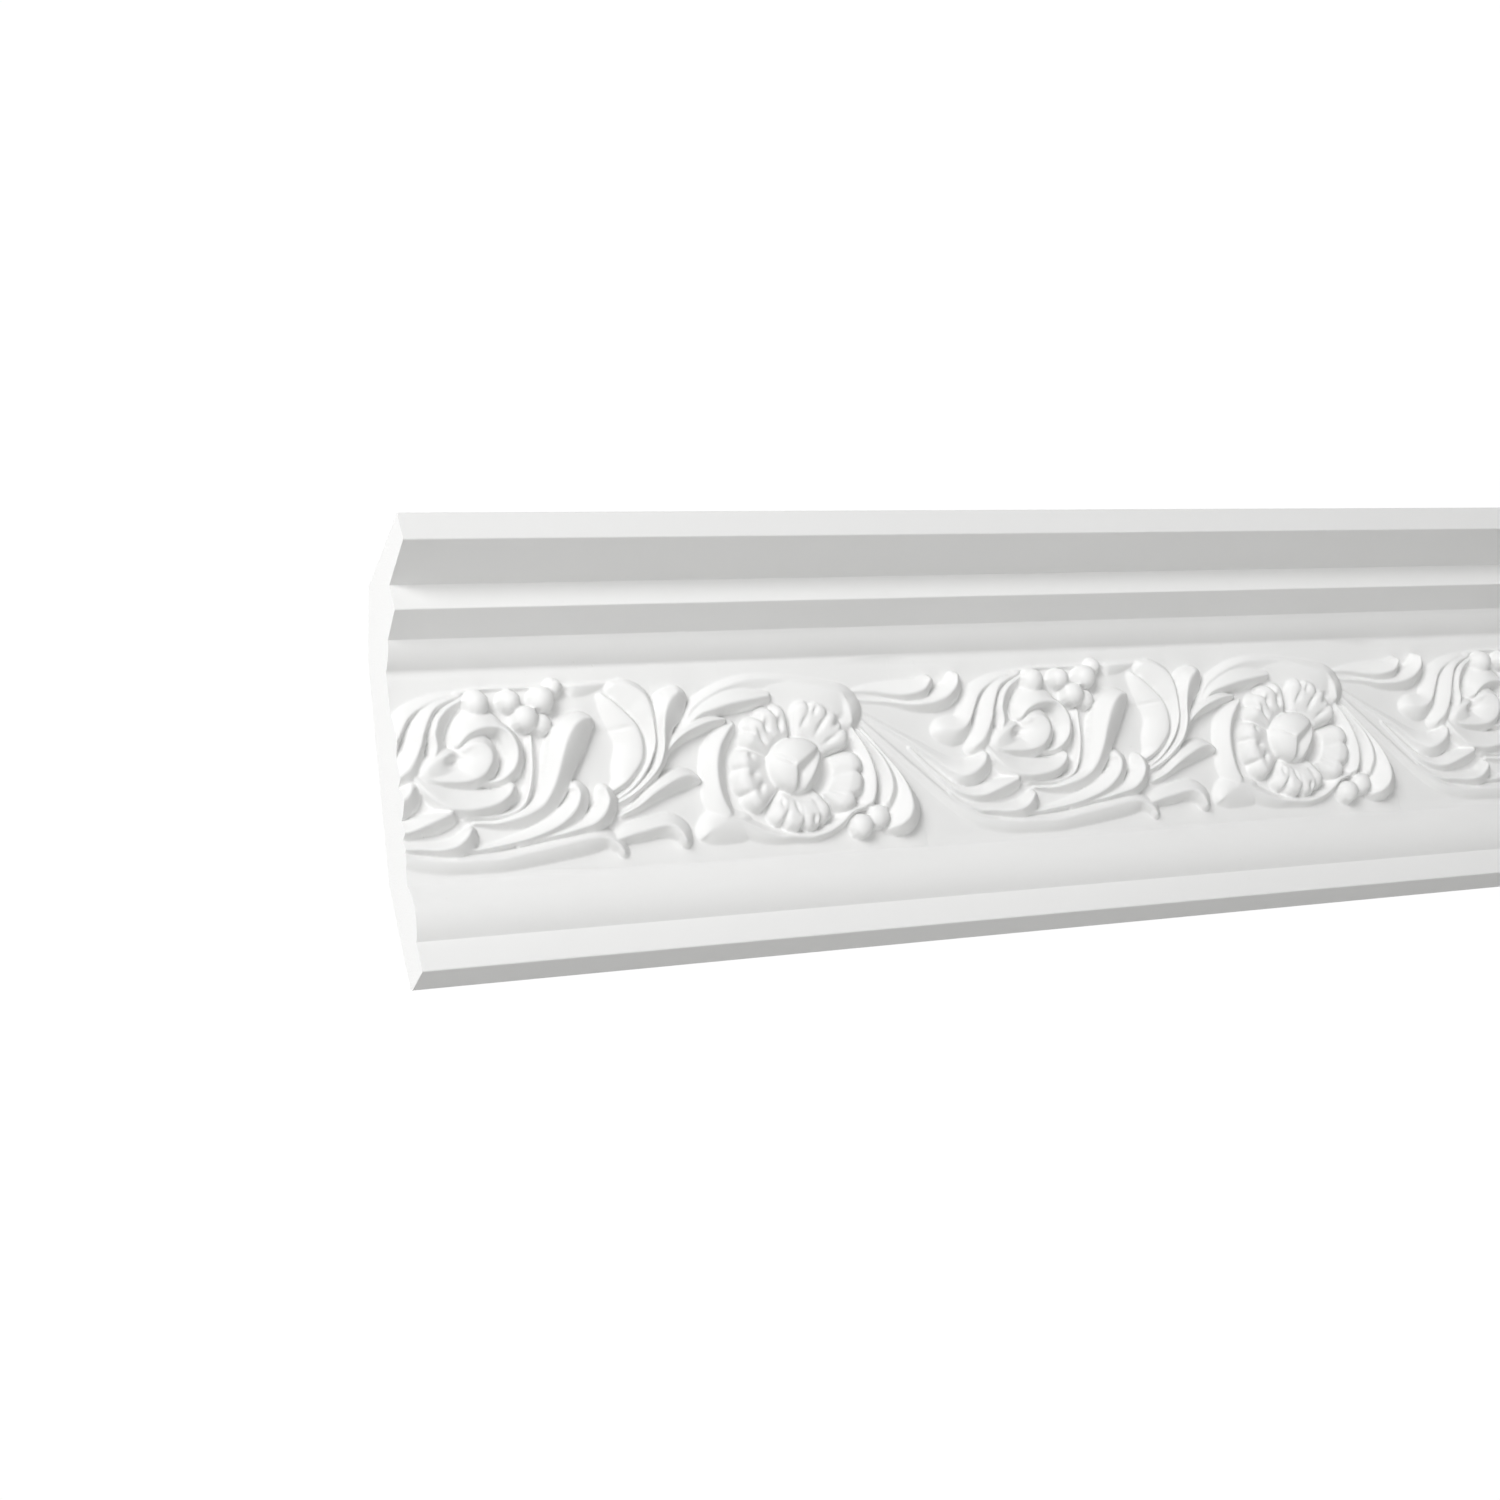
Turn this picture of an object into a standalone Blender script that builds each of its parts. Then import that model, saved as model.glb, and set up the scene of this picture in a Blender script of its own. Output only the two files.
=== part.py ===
# Ceiling cornice moulding: one cast length, cut square at both ends, with a carved frieze.
# +Z is up, +Y goes into the wall, X runs along the wall. Origin: middle of the flat that meets the wall.
import math

import bmesh
import bpy
import numpy as np

# Driving dimensions, in millimetres
MM = 0.001
RUN_LENGTH = 450.0
WALL_DROP = 120.0
REPEAT = 201.0

# The front, from the frieze up to the ceiling and down to the foot
FRIEZE_FOOT = (17.5, 27.4)
FRIEZE_RUN = 22.0
FRIEZE_FALL = 61.9
OVOLO_RUN = 8.0
OVOLO_FALL = 6.5
OVOLO_RISE = 1.0
SOFFIT_TWO_RUN = 12.0
SOFFIT_TWO_FALL = 3.2
FASCIA = 8.8
SOFFIT_ONE_RUN = 20.5
SOFFIT_ONE_FALL = 2.5
BULGE_RUN = 2.7
BULGE_FALL = 17.7
BULGE_RISE = 3.8

# The hidden side, from the heel up the wall and back out to the ceiling
HEEL_RADIUS = 2.0
WALL_FLAT_TOP = 35.8
BACK_BEND_DEPTH = 25.0
BACK_BEND_HEIGHT = 102.7
CEILING_FLAT_BACK = 40.5

FRIEZE_WIDTH = math.hypot(FRIEZE_RUN, FRIEZE_FALL)
FRIEZE_TOP = (FRIEZE_FOOT[0] + FRIEZE_RUN, FRIEZE_FOOT[1] + FRIEZE_FALL)
WALL_MIDDLE = (HEEL_RADIUS + WALL_FLAT_TOP) / 2

# How fine the shapes are worked
ARC_STEPS = 6
CURVE_STEPS = 5
GRID_STEP = 0.75
FRIEZE_TRIANGLES = 9000
BORDER_SLACK = 0.2
TINY = 1e-9
SMOOTH_ANGLE = math.radians(35)

CAST_COLOUR = (0.86, 0.86, 0.85, 1.0)
CAST_ROUGHNESS = 0.55

# Section of a leaf: full and rounded on its broad side, nearly straight from the crest down on its steep side
BROAD_POWER = 2.2
BROAD_ROUND = 0.65
STEEP_POWER = 1.15
STEEP_ROUND = 1.0

# Leaves and stems of one repeat: crest from root to tip as (along the run, up the frieze), then how far
# the leaf reaches to the left and to the right of its crest, and its height
STROKES = {
    "outer_leaf": (((-15, 36.5), (-9, 35.5), (-4.5, 38), (-2, 41), (1.5, 45), (5, 50), (10, 53.5),
        (15.5, 56), (22.5, 57.5)), (3.4, 6.1, 5.4, 4.5, 5.3, 4.7, 3.7, 2.4, 1.2),
        (1.1, 2.3, 3.6, 2.6, 1.3, 0.8, 0.7, 0.5, 0.4), (4.6, 5, 5.2, 5.2, 5, 4.2, 3.4, 2.6, 2)),
    "second_leaf": (((-0.5, 33), (2.5, 35.5), (5, 39), (7.5, 44), (9.5, 47.5), (12.5, 52), (17, 54.5),
        (22, 56.5)), (2.3, 3.8, 4.1, 3.9, 3.4, 2.3, 1.5, 0.8), (2.1, 3.4, 4.3, 3.3, 2.2, 1.5, 1, 0.7),
        (4.4, 5, 5.2, 5.2, 5, 4.2, 3.2, 2.4)),
    "third_leaf": (((12, 35), (11.5, 40), (11.5, 44), (12.5, 48), (15, 51), (18.5, 54), (23, 56)),
        (2.5, 1.8, 1, 0.7, 0.8, 0.9, 0.7), (2.2, 4.4, 5, 5.1, 4.1, 3, 1.5),
        (4, 4.4, 4.4, 4.2, 3.7, 3, 2.4)),
    "spiral_ring": (((19, 40.5), (18, 44), (20, 46.5), (24, 48), (29, 47.5), (33.5, 46), (36.5, 42),
        (37.5, 37.5), (36, 33.5), (32, 30), (26.5, 29), (20, 29), (14, 29.5)),
        (1.2, 2.1, 4.2, 5, 4.6, 4.2, 4.3, 4.1, 3.7, 2.8, 1.7, 1.2, 0.8),
        (1.5, 2.5, 2.9, 2.5, 2.6, 3.9, 4, 3.7, 3.5, 2.8, 1.9, 1.6, 1.1),
        (2.6, 4.8, 6, 6.2, 6.2, 6.2, 6, 5.6, 5, 4.4, 3.8, 3.4, 3)),
    "spiral_heart": (((6.5, 34.5), (11.5, 32.5), (16.5, 31.5), (20.5, 33), (23.5, 36), (24, 38)),
        (1.3, 2.2, 3, 4.3, 4.8, 4.3), (1.1, 2, 2.6, 3.9, 5.3, 5.7), (3, 3.8, 4.6, 5.8, 6.8, 7)),
    "under_leaf": (((5, 31.5), (8.5, 26.5), (13.5, 22.5), (19.5, 21), (25, 21.5), (30, 23), (33.5, 25.5)),
        (4.3, 7.4, 8.3, 8.2, 7.2, 5.4, 2.5), (0.6, 0.5, 0.5, 1, 2.2, 3.2, 2.5),
        (3.4, 4, 4.4, 4.8, 5.4, 5.6, 5.2)),
    "thin_stem": (((20, 19), (28, 18.5), (34, 19.5), (37.5, 22), (40, 27), (41.5, 33), (42, 39),
        (42.5, 43.5)), (1.2, 1.5, 1.6, 1.3, 1.1, 0.9, 0.6, 0.4), (0.5, 0.6, 0.8, 1, 1.1, 1.4, 1.5, 1.1),
        (2.6, 3, 3.6, 4, 4.4, 4.4, 4, 3.4)),
    "great_leaf": (((22.5, 17.5), (30, 17), (37.5, 18.5), (43, 21), (46, 25), (48.5, 30.5), (50.5, 36),
        (53, 41), (56.5, 45.5), (61, 46.5)), (0.8, 1.2, 2.2, 2.9, 3.5, 4.1, 4.7, 5.4, 3.8, 1.9),
        (0.9, 2.1, 3.9, 5.1, 6.4, 7.1, 7.8, 8.1, 6.2, 3), (2.2, 3, 4.2, 5, 6, 6.8, 7.4, 7.6, 7.2, 6)),
    "outer_rim": (((20.5, 58), (30.5, 59), (42.5, 59), (54.5, 59), (62.5, 59), (69, 58.5)),
        (1, 0.9, 0.9, 1, 1, 1.3), (0.8, 0.8, 0.8, 3.3, 4.7, 3.2), (2, 1.8, 1.8, 2, 2, 2.4)),
    "fan_inner": (((68.5, 24.5), (73, 27), (76.5, 30.5), (79, 34.5), (79.5, 39.5), (78.5, 44.5),
        (75.5, 49), (71.5, 53.5), (68, 56)), (1.4, 3.7, 6.4, 7.3, 7.2, 6.6, 5.3, 3.6, 1.6),
        (0.8, 1.3, 2.1, 2.8, 2.6, 1.4, 1, 0.9, 0.8), (2.8, 3.6, 4.2, 4.6, 4.7, 4.5, 4.1, 3.6, 3)),
    "fan_first": (((70, 22), (75, 25), (79, 29), (82, 33.5), (84, 39), (84, 45), (83.5, 50), (82, 54.5),
        (78, 58), (73.5, 59)), (0.8, 1.3, 1.6, 1.9, 2.9, 4.5, 7.2, 8.1, 7.5, 4.5),
        (0.6, 0.7, 0.9, 1, 1.2, 1.6, 2.7, 3.1, 2.2, 1.5), (2.8, 3.6, 4.4, 5, 5.4, 5.6, 5.6, 5, 4, 3)),
    "fan_second": (((70.5, 21), (75.5, 23.5), (80, 27), (84, 31.5), (86, 37), (86.5, 43), (87.5, 48.5),
        (89.5, 52.5), (93, 55.5)), (0.6, 0.7, 0.7, 0.8, 1, 1.3, 2.2, 3.7, 2.7),
        (1, 1.4, 2.1, 3, 4.1, 5.4, 7.3, 7.7, 4.9), (2.8, 3.8, 4.8, 5.8, 6.4, 6.8, 7.2, 7.2, 6.2)),
    "fan_third": (((86, 33.5), (90, 38.5), (94, 41.5), (98.5, 43.5), (103.5, 45), (108, 45.5)),
        (0.4, 0.8, 1.8, 2.5, 2.3, 1.3), (2.2, 3, 3.7, 4.2, 3.6, 1.8), (4.2, 5, 5.6, 5.8, 5.6, 5)),
    "fan_fourth": (((92.5, 40), (96, 44), (101, 47.5), (106, 49), (112, 50.5), (118, 51.5), (124, 52.5)),
        (0.4, 0.8, 1.8, 3.5, 4.3, 4.1, 2.6), (0.7, 1.1, 1.6, 2.7, 3.3, 3.5, 2.3),
        (3, 3.8, 4.6, 5.2, 5.6, 5.6, 5)),
    "arch_stem": (((91.5, 40), (95.5, 45), (99.5, 50), (105, 53.5), (112, 56.5), (120, 58.5),
        (130.5, 58.5), (138.5, 57.5), (147, 56.5)), (1, 2, 2.8, 3, 3, 2.5, 2.1, 1.7, 1.4),
        (0.7, 0.9, 1.1, 1.2, 2, 2.8, 3.7, 4.7, 3.8), (3, 3.4, 3.7, 3.7, 3.3, 2.8, 2.3, 1.9, 1.4)),
    "fan_fifth": (((71, 17), (76.5, 19.5), (81.5, 23), (87, 26), (92, 28), (96.5, 28)),
        (0.7, 1.2, 1.7, 2.6, 2.9, 1.9), (1, 2.2, 3.9, 5.1, 5, 3), (3, 4, 5, 5.4, 5.2, 4.4)),
    "fan_sixth": (((67.5, 9.5), (72.5, 11), (78.5, 12.5), (84, 13.5), (87.5, 12.5), (90, 9.5), (92, 7)),
        (2, 3.1, 3.1, 3, 2.8, 2.9, 2.1), (1.9, 2.9, 3.8, 4, 3.3, 1.5, 0.7),
        (3.4, 4, 4.4, 4.6, 4.8, 4.8, 4.2)),
    "collar": (((128.5, 56), (137, 55), (145.5, 53), (150.5, 50.5), (153, 46.5), (154.5, 43)),
        (3.1, 4.2, 4.3, 5, 6.3, 4.2), (4.7, 7.5, 9.2, 7.4, 4.3, 1.1), (1.8, 2.8, 4, 5.2, 5.7, 5)),
    "tendril_one": (((158, 53.5), (166, 53), (172.5, 52), (177.5, 51.5), (181.5, 53), (185, 56)),
        (1, 2.6, 4.1, 5.1, 4.2, 1.4), (0.7, 0.8, 1.2, 2, 3.4, 3.1), (0.9, 1.4, 2.4, 4, 5.2, 5)),
    "tendril_two": (((160, 50.5), (171, 49), (179, 47.5), (185.5, 48), (190.5, 50), (194, 53.5),
        (195.5, 56.5)), (0.8, 1, 1.6, 2.8, 4, 3.4, 1.1), (1, 1.3, 1.9, 2.9, 4, 4.6, 3.3),
        (1, 1.6, 2.6, 3.8, 5.2, 5.8, 5.4)),
    "stem_upper": (((-40, 46), (-30, 39.5), (-22, 34), (-15.5, 29), (-11, 25), (-6.5, 22.5), (-2.5, 23.5),
        (1.5, 26.5), (3, 29)), (1, 1.7, 2.6, 3.7, 5.3, 6.8, 5.6, 3.5, 1.2),
        (0.7, 1, 1.3, 0.9, 0.7, 1.7, 3.8, 4.2, 2.6), (1.1, 1.3, 1.6, 2, 2.8, 4.2, 5.2, 5.4, 5)),
    "stem_middle": (((-24, 33.5), (-16, 25), (-9.5, 19), (-4, 16), (1, 15.5), (5.5, 17), (10.5, 19),
        (14.5, 20.5)), (0.8, 1.5, 2.6, 3.8, 4.6, 4.1, 2.9, 1.6), (0.5, 0.7, 1, 0.8, 1.5, 2.6, 3.3, 2.2),
        (1.3, 1.5, 2, 2.8, 3.8, 4.8, 5.2, 5)),
    "stem_lobe": (((-11, 17), (-6.5, 13), (-0.5, 10.5), (5, 10), (10.5, 9.5), (15.5, 10.5), (18.5, 13),
        (20, 15)), (1.1, 2.2, 3.2, 3.6, 3.7, 3.2, 1.8, 0.6), (0.5, 0.5, 0.5, 0.8, 1.6, 3.1, 4.2, 2.6),
        (1.6, 2, 2.4, 3, 4, 4.8, 5.2, 5)),
    "stem_lower": (((-40, 43), (-30, 33.5), (-20, 24), (-10, 15), (-0.5, 9), (10, 6.5), (20, 6), (30, 6),
        (40, 7.5), (50, 9), (59.5, 10.5), (65, 10), (69, 7), (70.5, 5)),
        (0.9, 1.2, 1.3, 1.4, 1.7, 1.9, 2.1, 2.3, 2.5, 2.9, 2.9, 2.7, 2.5, 1.8),
        (1.6, 2.2, 2.7, 3.1, 3.5, 3.9, 4.1, 4.3, 4.8, 5.1, 5.2, 3.2, 1.4, 0.6),
        (1.1, 1.3, 1.5, 1.6, 1.9, 2.3, 2.6, 2.9, 3.3, 3.6, 3.8, 3.8, 3.6, 3)),
    "low_lobe": (((14.5, 8.5), (24, 9), (33, 10), (40.5, 11.5), (47.5, 14), (52, 17), (55, 20.5), (56, 24),
        (55.5, 26)), (0.8, 1.5, 2.7, 3.7, 4.6, 4.6, 3.5, 1.9, 1.1),
        (0.6, 0.6, 0.7, 1.1, 2, 3.2, 4.2, 4.7, 3.6), (2.2, 2.6, 3.2, 4, 4.8, 5.6, 6.2, 6.2, 5.6)),
    "low_lobe_two": (((36, 9.5), (44, 11), (50.5, 12), (57, 13.5), (61, 15), (64, 18), (65.5, 21.5),
        (65, 24.5)), (0.8, 1.6, 2.7, 3.7, 4.3, 4.2, 2.8, 1.2), (0.6, 0.8, 1.2, 1.8, 3.5, 5, 5.1, 3.7),
        (2.6, 3.2, 4, 4.8, 5.6, 6.2, 6.2, 5.6)),
    "ring_left": (((108, 15.5), (105.5, 20), (104.5, 25.5), (105, 31.5), (106.5, 37), (109.5, 41)),
        (4.6, 4.4, 3.9, 3.8, 3.7, 1.8), (3.1, 4, 4.4, 4.4, 3.8, 2.2), (4, 4.6, 4.8, 4.8, 4.6, 4)),
    "ring_foot": (((96.5, 8), (98.5, 9.5), (101.5, 11.5), (105.5, 13), (110, 13.5)),
        (1.3, 3.7, 4.9, 4.1, 2.1), (0.8, 2.3, 3.8, 4.5, 4.7), (2.6, 3.6, 4, 3.8, 3.4)),
    "ring_low": (((108, 14), (113, 12), (119, 9), (125, 7), (131, 6.5), (137, 6), (143, 7.5), (147.5, 10),
        (151.5, 13), (156, 14)), (2.2, 2.2, 2.2, 2.1, 1.9, 1.9, 2, 1.8, 2.8, 3),
        (4.2, 4.7, 4.3, 3.5, 2.4, 2, 2.2, 2.1, 1.4, 0.9), (3.4, 3.2, 3, 2.8, 2.6, 2.8, 3.2, 3.6, 4, 4.4)),
    "calyx_one": (((155.5, 41.5), (158, 36.5), (160, 31.5), (161, 25.5), (160.5, 20), (159, 16),
        (157, 15)), (0.6, 1.1, 1.5, 2, 2.5, 2.5, 1.7), (0.5, 1.1, 2.3, 3.6, 4.2, 4.4, 2.6),
        (3, 3.8, 4.4, 5, 5.2, 5, 4.4)),
    "calyx_two": (((158, 40.5), (161.5, 35), (164.5, 29.5), (166, 24), (166.5, 19.5), (165, 16)),
        (0.7, 1.3, 2.5, 4.1, 4.6, 3.6), (0.4, 0.7, 1.3, 2.2, 2.8, 1.6), (3, 4, 4.8, 5.4, 5.6, 5)),
    "calyx_three": (((159.5, 40.5), (163.5, 34.5), (167.5, 28.5), (170, 23), (171.5, 17.5), (171.5, 12.5),
        (170, 8.5), (167, 5.5), (164.5, 5)), (0.7, 1.3, 3, 5.2, 6.7, 7.2, 6.1, 3.6, 1.8),
        (0.4, 0.6, 1.1, 1.8, 3.2, 4.4, 4.8, 3.4, 1.9), (3, 4, 5.2, 6.2, 7, 7.2, 7, 6, 4.6)),
}

# Berries of one repeat: place, radius, height
BERRIES = {
    "one": ((26.6, 54.2), 3.7, 5.6),
    "two": ((35.8, 54), 3.8, 5.8),
    "three": ((46.6, 54.3), 4, 6.2),
    "four": ((41.1, 48), 4, 6.4),
    "five": ((47, 46.6), 3.2, 4.4),
    "six": ((52.3, 58), 2.7, 3.8),
    "seven": ((53.6, 53.6), 2.6, 3.2),
    "eight": ((153.8, 8.3), 4.1, 6),
    "nine": ((160.9, 11.2), 4, 6),
}

# Leaves that are steep on the left of their way instead of the right
STEEP_LEFT = {"calyx_one", "calyx_two", "calyx_three", "collar", "spiral_ring"}

# Rosette of one repeat: petals as (middle angle, half angle, reach, lobes) round a dome
ROSETTE_CENTRE = (133.2, 28.8)
PETALS = ((53, 38, 23.2, 4), (126, 34, 22.8, 4), (193, 32, 21.8, 3), (268, 37, 20.8, 4), (-14, 29, 22.8, 3))
PETAL_FOOT = 2.3
PETAL_CREST = 5.1
SCALLOP = 0.9
GROOVE = 1.1
HOLLOW = 1.2
DOME_RADIUS = 10.4
DOME_FOOT = 3.2
DOME_RISE = 6.0
SEED_SECTOR = (-100, 14)
SEED_DROP = 1.8


def clear_scene():
    for thing in list(bpy.data.objects):
        bpy.data.objects.remove(thing, do_unlink=True)


def cast_material():
    material = bpy.data.materials.new("white_polyurethane")
    material.use_nodes = True
    shader = material.node_tree.nodes["Principled BSDF"]
    shader.inputs["Base Color"].default_value = CAST_COLOUR
    shader.inputs["Roughness"].default_value = CAST_ROUGHNESS
    shader.inputs["Metallic"].default_value = 0.0
    material.diffuse_color = CAST_COLOUR
    return material


def arc_between(start, end, rise, steps):
    """Points of an arc that stands rise to the right of the way from start to end, without the ends."""
    (d0, z0), (d1, z1) = start, end
    chord = math.hypot(d1 - d0, z1 - z0)
    radius = (chord * chord / 4 + rise * rise) / (2 * rise)
    half_angle = math.asin(chord / (2 * radius))
    along = ((d1 - d0) / chord, (z1 - z0) / chord)
    points = []
    for step in range(1, steps):
        angle = half_angle * (2 * step / steps - 1)
        run = chord / 2 + radius * math.sin(angle)
        proud = radius * (math.cos(angle) - math.cos(half_angle))
        points.append((d0 + along[0] * run + along[1] * proud, z0 + along[1] * run - along[0] * proud))
    return points


def section():
    """The cut end as (distance from the wall, height): from the frieze's top edge over the front,
    the ceiling face, the back and the wall face to the frieze's foot."""
    frieze_top, frieze_foot = FRIEZE_TOP, FRIEZE_FOOT
    ovolo_top = (frieze_top[0] + OVOLO_RUN, frieze_top[1] + OVOLO_FALL)
    fascia_foot = (ovolo_top[0] + SOFFIT_TWO_RUN, ovolo_top[1] + SOFFIT_TWO_FALL)
    fascia_top = (fascia_foot[0], fascia_foot[1] + FASCIA)
    fillet_foot = (fascia_top[0] + SOFFIT_ONE_RUN, fascia_top[1] + SOFFIT_ONE_FALL)
    bulge_foot = (frieze_foot[0] - BULGE_RUN, frieze_foot[1] - BULGE_FALL)
    points = [frieze_top]
    points += arc_between(frieze_top, ovolo_top, OVOLO_RISE, ARC_STEPS)
    points += [ovolo_top, fascia_foot, fascia_top, fillet_foot, (fillet_foot[0], WALL_DROP)]
    points += [(CEILING_FLAT_BACK, WALL_DROP), (BACK_BEND_DEPTH, BACK_BEND_HEIGHT)]
    points += [(0.0, WALL_FLAT_TOP), (0.0, HEEL_RADIUS)]
    points += arc_between((0.0, HEEL_RADIUS), (HEEL_RADIUS, 0.0), HEEL_RADIUS * (1 - math.sqrt(0.5)), ARC_STEPS)
    points += [(HEEL_RADIUS, 0.0), (bulge_foot[0], 0.0), bulge_foot]
    points += arc_between(bulge_foot, frieze_foot, BULGE_RISE, ARC_STEPS)
    points.append(frieze_foot)
    return points


def smooth_path(points):
    """A smooth curve through a few points, as an array of points and the parameter of each."""
    ends = [(2 * points[0][k] - points[1][k] for k in (0, 1)), (2 * points[-1][k] - points[-2][k] for k in (0, 1))]
    padded = np.array([list(ends[0])] + [list(p) for p in points] + [list(ends[1])])
    curve = []
    for before, start, end, after in zip(padded, padded[1:], padded[2:], padded[3:]):
        for t in np.arange(CURVE_STEPS) / CURVE_STEPS:
            linear = (end - before) * t
            square = (2 * before - 5 * start + 4 * end - after) * t * t
            cube = (3 * start - before - 3 * end + after) * t ** 3
            curve.append(0.5 * (2 * start + linear + square + cube))
    curve.append(padded[-2])
    return np.array(curve)


def spread(values, count):
    return np.interp(np.linspace(0, 1, count), np.linspace(0, 1, len(values)), values)


def press_stroke(relief, u, v, path, reaches, heights, steep_left):
    """Raise a leaf or stem along its crest, with its own reach to each side."""
    curve = smooth_path(path)
    left, right = (spread(values, len(curve)) for values in reaches)
    tops = spread(heights, len(curve))
    margin = max(left.max(), right.max())
    low, high = curve.min(axis=0) - margin, curve.max(axis=0) + margin
    near = (u > low[0]) & (u < high[0]) & (v > low[1]) & (v < high[1])
    if not near.any():
        return
    near_u, near_v = u[near], v[near]
    best = relief[near]
    for i in range(len(curve) - 1):
        step = curve[i + 1] - curve[i]
        along = ((near_u - curve[i, 0]) * step[0] + (near_v - curve[i, 1]) * step[1]) / step.dot(step)
        t = np.clip(along, 0, 1)
        du = near_u - curve[i, 0] - t * step[0]
        dv = near_v - curve[i, 1] - t * step[1]
        distance = np.hypot(du, dv) + TINY
        turn = (du * step[1] - dv * step[0]) / (distance * math.hypot(step[0], step[1]))
        to_right = (1 + np.clip(turn, -1, 1)) / 2
        reach_left = left[i] + (left[i + 1] - left[i]) * t
        reach_right = right[i] + (right[i + 1] - right[i]) * t
        reach = reach_left + (reach_right - reach_left) * to_right
        steep = 1 - to_right if steep_left else to_right
        power = BROAD_POWER + (STEEP_POWER - BROAD_POWER) * steep
        roundness = BROAD_ROUND + (STEEP_ROUND - BROAD_ROUND) * steep
        top = tops[i] + (tops[i + 1] - tops[i]) * t
        best = np.maximum(best, top * (1 - np.clip(distance / reach, 0, 1) ** power) ** roundness)
    relief[near] = best


def press_berry(relief, u, v, centre, radius, height):
    across = np.hypot(u - centre[0], v - centre[1]) / radius
    np.maximum(relief, height * np.sqrt(np.clip(1 - across ** 2, 0, 1)), out=relief)


def press_petal(relief, radius, angle, petal):
    """A petal with a lobed rim, shallow grooves between its lobes and a hollow near its foot."""
    middle, half_angle, full_reach, lobes = petal
    across = ((angle - middle + 180) % 360 - 180) / half_angle
    valley = 1 - np.abs(np.sin(math.pi * lobes / 2 * (across + 1)))
    reach = full_reach * (1 - 0.13 * np.abs(across) ** 3) - SCALLOP * valley ** 2
    rim = np.clip(2 * radius / reach - 1, 0, 1)
    body = (1 - rim ** 3) ** 0.75 * np.clip(1 - np.abs(across) ** 7, 0, 1) ** 0.6
    rise = np.interp(radius, (9, 12, 17.5), (PETAL_FOOT, PETAL_FOOT, PETAL_CREST))
    groove = GROOVE * valley ** 2 * np.exp(-((radius - 17) / 2.8) ** 2)
    hollow = HOLLOW * (0.3 + 0.7 * valley) * np.exp(-((radius - 14.2) / 2) ** 2)
    inside = (np.abs(across) < 1) & (radius < reach)
    np.maximum(relief, np.where(inside, (rise - groove - hollow) * body, 0), out=relief)


def press_rosette(relief, u, v, shift):
    """Five petals and the dome between them, with one sector of the dome set lower."""
    du = u - ROSETTE_CENTRE[0] - shift
    dv = v - ROSETTE_CENTRE[1]
    radius = np.hypot(du, dv)
    angle = np.degrees(np.arctan2(dv, du))
    for petal in PETALS:
        press_petal(relief, radius, angle, petal)
    dome = DOME_FOOT + DOME_RISE * np.clip(1 - (radius / DOME_RADIUS) ** 2, 0, 1) ** 0.6
    in_sector = (angle > SEED_SECTOR[0]) & (angle < SEED_SECTOR[1])
    dome = np.where(in_sector, dome - SEED_DROP, dome)
    np.maximum(relief, np.where(radius < DOME_RADIUS, dome, 0), out=relief)


def carved_relief(u, v):
    """Height of the carving over the frieze at each place along the run and up the frieze."""
    relief = np.zeros_like(u)
    for number in range(-1, math.ceil(RUN_LENGTH / REPEAT) + 1):
        shift = number * REPEAT
        for name, (path, reach_left, reach_right, heights) in STROKES.items():
            moved = [(x + shift, y) for x, y in path]
            press_stroke(relief, u, v, moved, (reach_left, reach_right), heights, name in STEEP_LEFT)
        for (x, y), radius, height in BERRIES.values():
            press_berry(relief, u, v, (x + shift, y), radius, height)
        press_rosette(relief, u, v, shift)
    return relief


def carved_frieze():
    """The frieze lying flat, in millimetres: a fine grid raised by the carving, thinned where it is plain."""
    columns = round(RUN_LENGTH / GRID_STEP) + 1
    rows = round(FRIEZE_WIDTH / GRID_STEP) + 1
    u, v = np.meshgrid(np.linspace(0, RUN_LENGTH, columns), np.linspace(0, FRIEZE_WIDTH, rows), indexing="ij")
    relief = carved_relief(u, v)
    corners = np.stack([u, v, relief], axis=-1).reshape(-1, 3)
    quads = []
    for column in range(columns - 1):
        for row in range(rows - 1):
            first = column * rows + row
            quads.append((first, first + rows, first + rows + 1, first + 1))
    mesh = bpy.data.meshes.new("frieze_grid")
    mesh.from_pydata(corners.tolist(), [], quads)
    grid = bpy.data.objects.new("frieze_grid", mesh)
    bpy.context.collection.objects.link(grid)
    thin = grid.modifiers.new("thin", "DECIMATE")
    thin.ratio = FRIEZE_TRIANGLES / (2 * len(quads))
    frieze = bpy.data.meshes.new_from_object(grid.evaluated_get(bpy.context.evaluated_depsgraph_get()))
    bpy.data.objects.remove(grid, do_unlink=True)
    bpy.data.meshes.remove(mesh)
    return frieze


def settle_border(frieze):
    """Bring the thinned frieze's rim back to the cut ends and to the frieze's straight edges."""
    rim = {"start": [], "end": [], "foot": [], "top": []}
    for vert in (v for v in frieze.verts if v.is_boundary):
        x, y = vert.co.x, vert.co.y
        gaps = {"start": x, "end": RUN_LENGTH - x, "foot": y, "top": FRIEZE_WIDTH - y}
        for side, gap in gaps.items():
            if gap < BORDER_SLACK:
                rim[side].append(vert)
    for vert in rim["start"]:
        vert.co.x = 0.0
    for vert in rim["end"]:
        vert.co.x = RUN_LENGTH
    for vert in rim["foot"]:
        vert.co.y, vert.co.z = 0.0, 0.0
    for vert in rim["top"]:
        vert.co.y, vert.co.z = FRIEZE_WIDTH, 0.0
    for side in ("start", "end"):
        rim[side].sort(key=lambda vert: vert.co.y)
    for side in ("foot", "top"):
        rim[side].sort(key=lambda vert: vert.co.x)
    return rim


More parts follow.
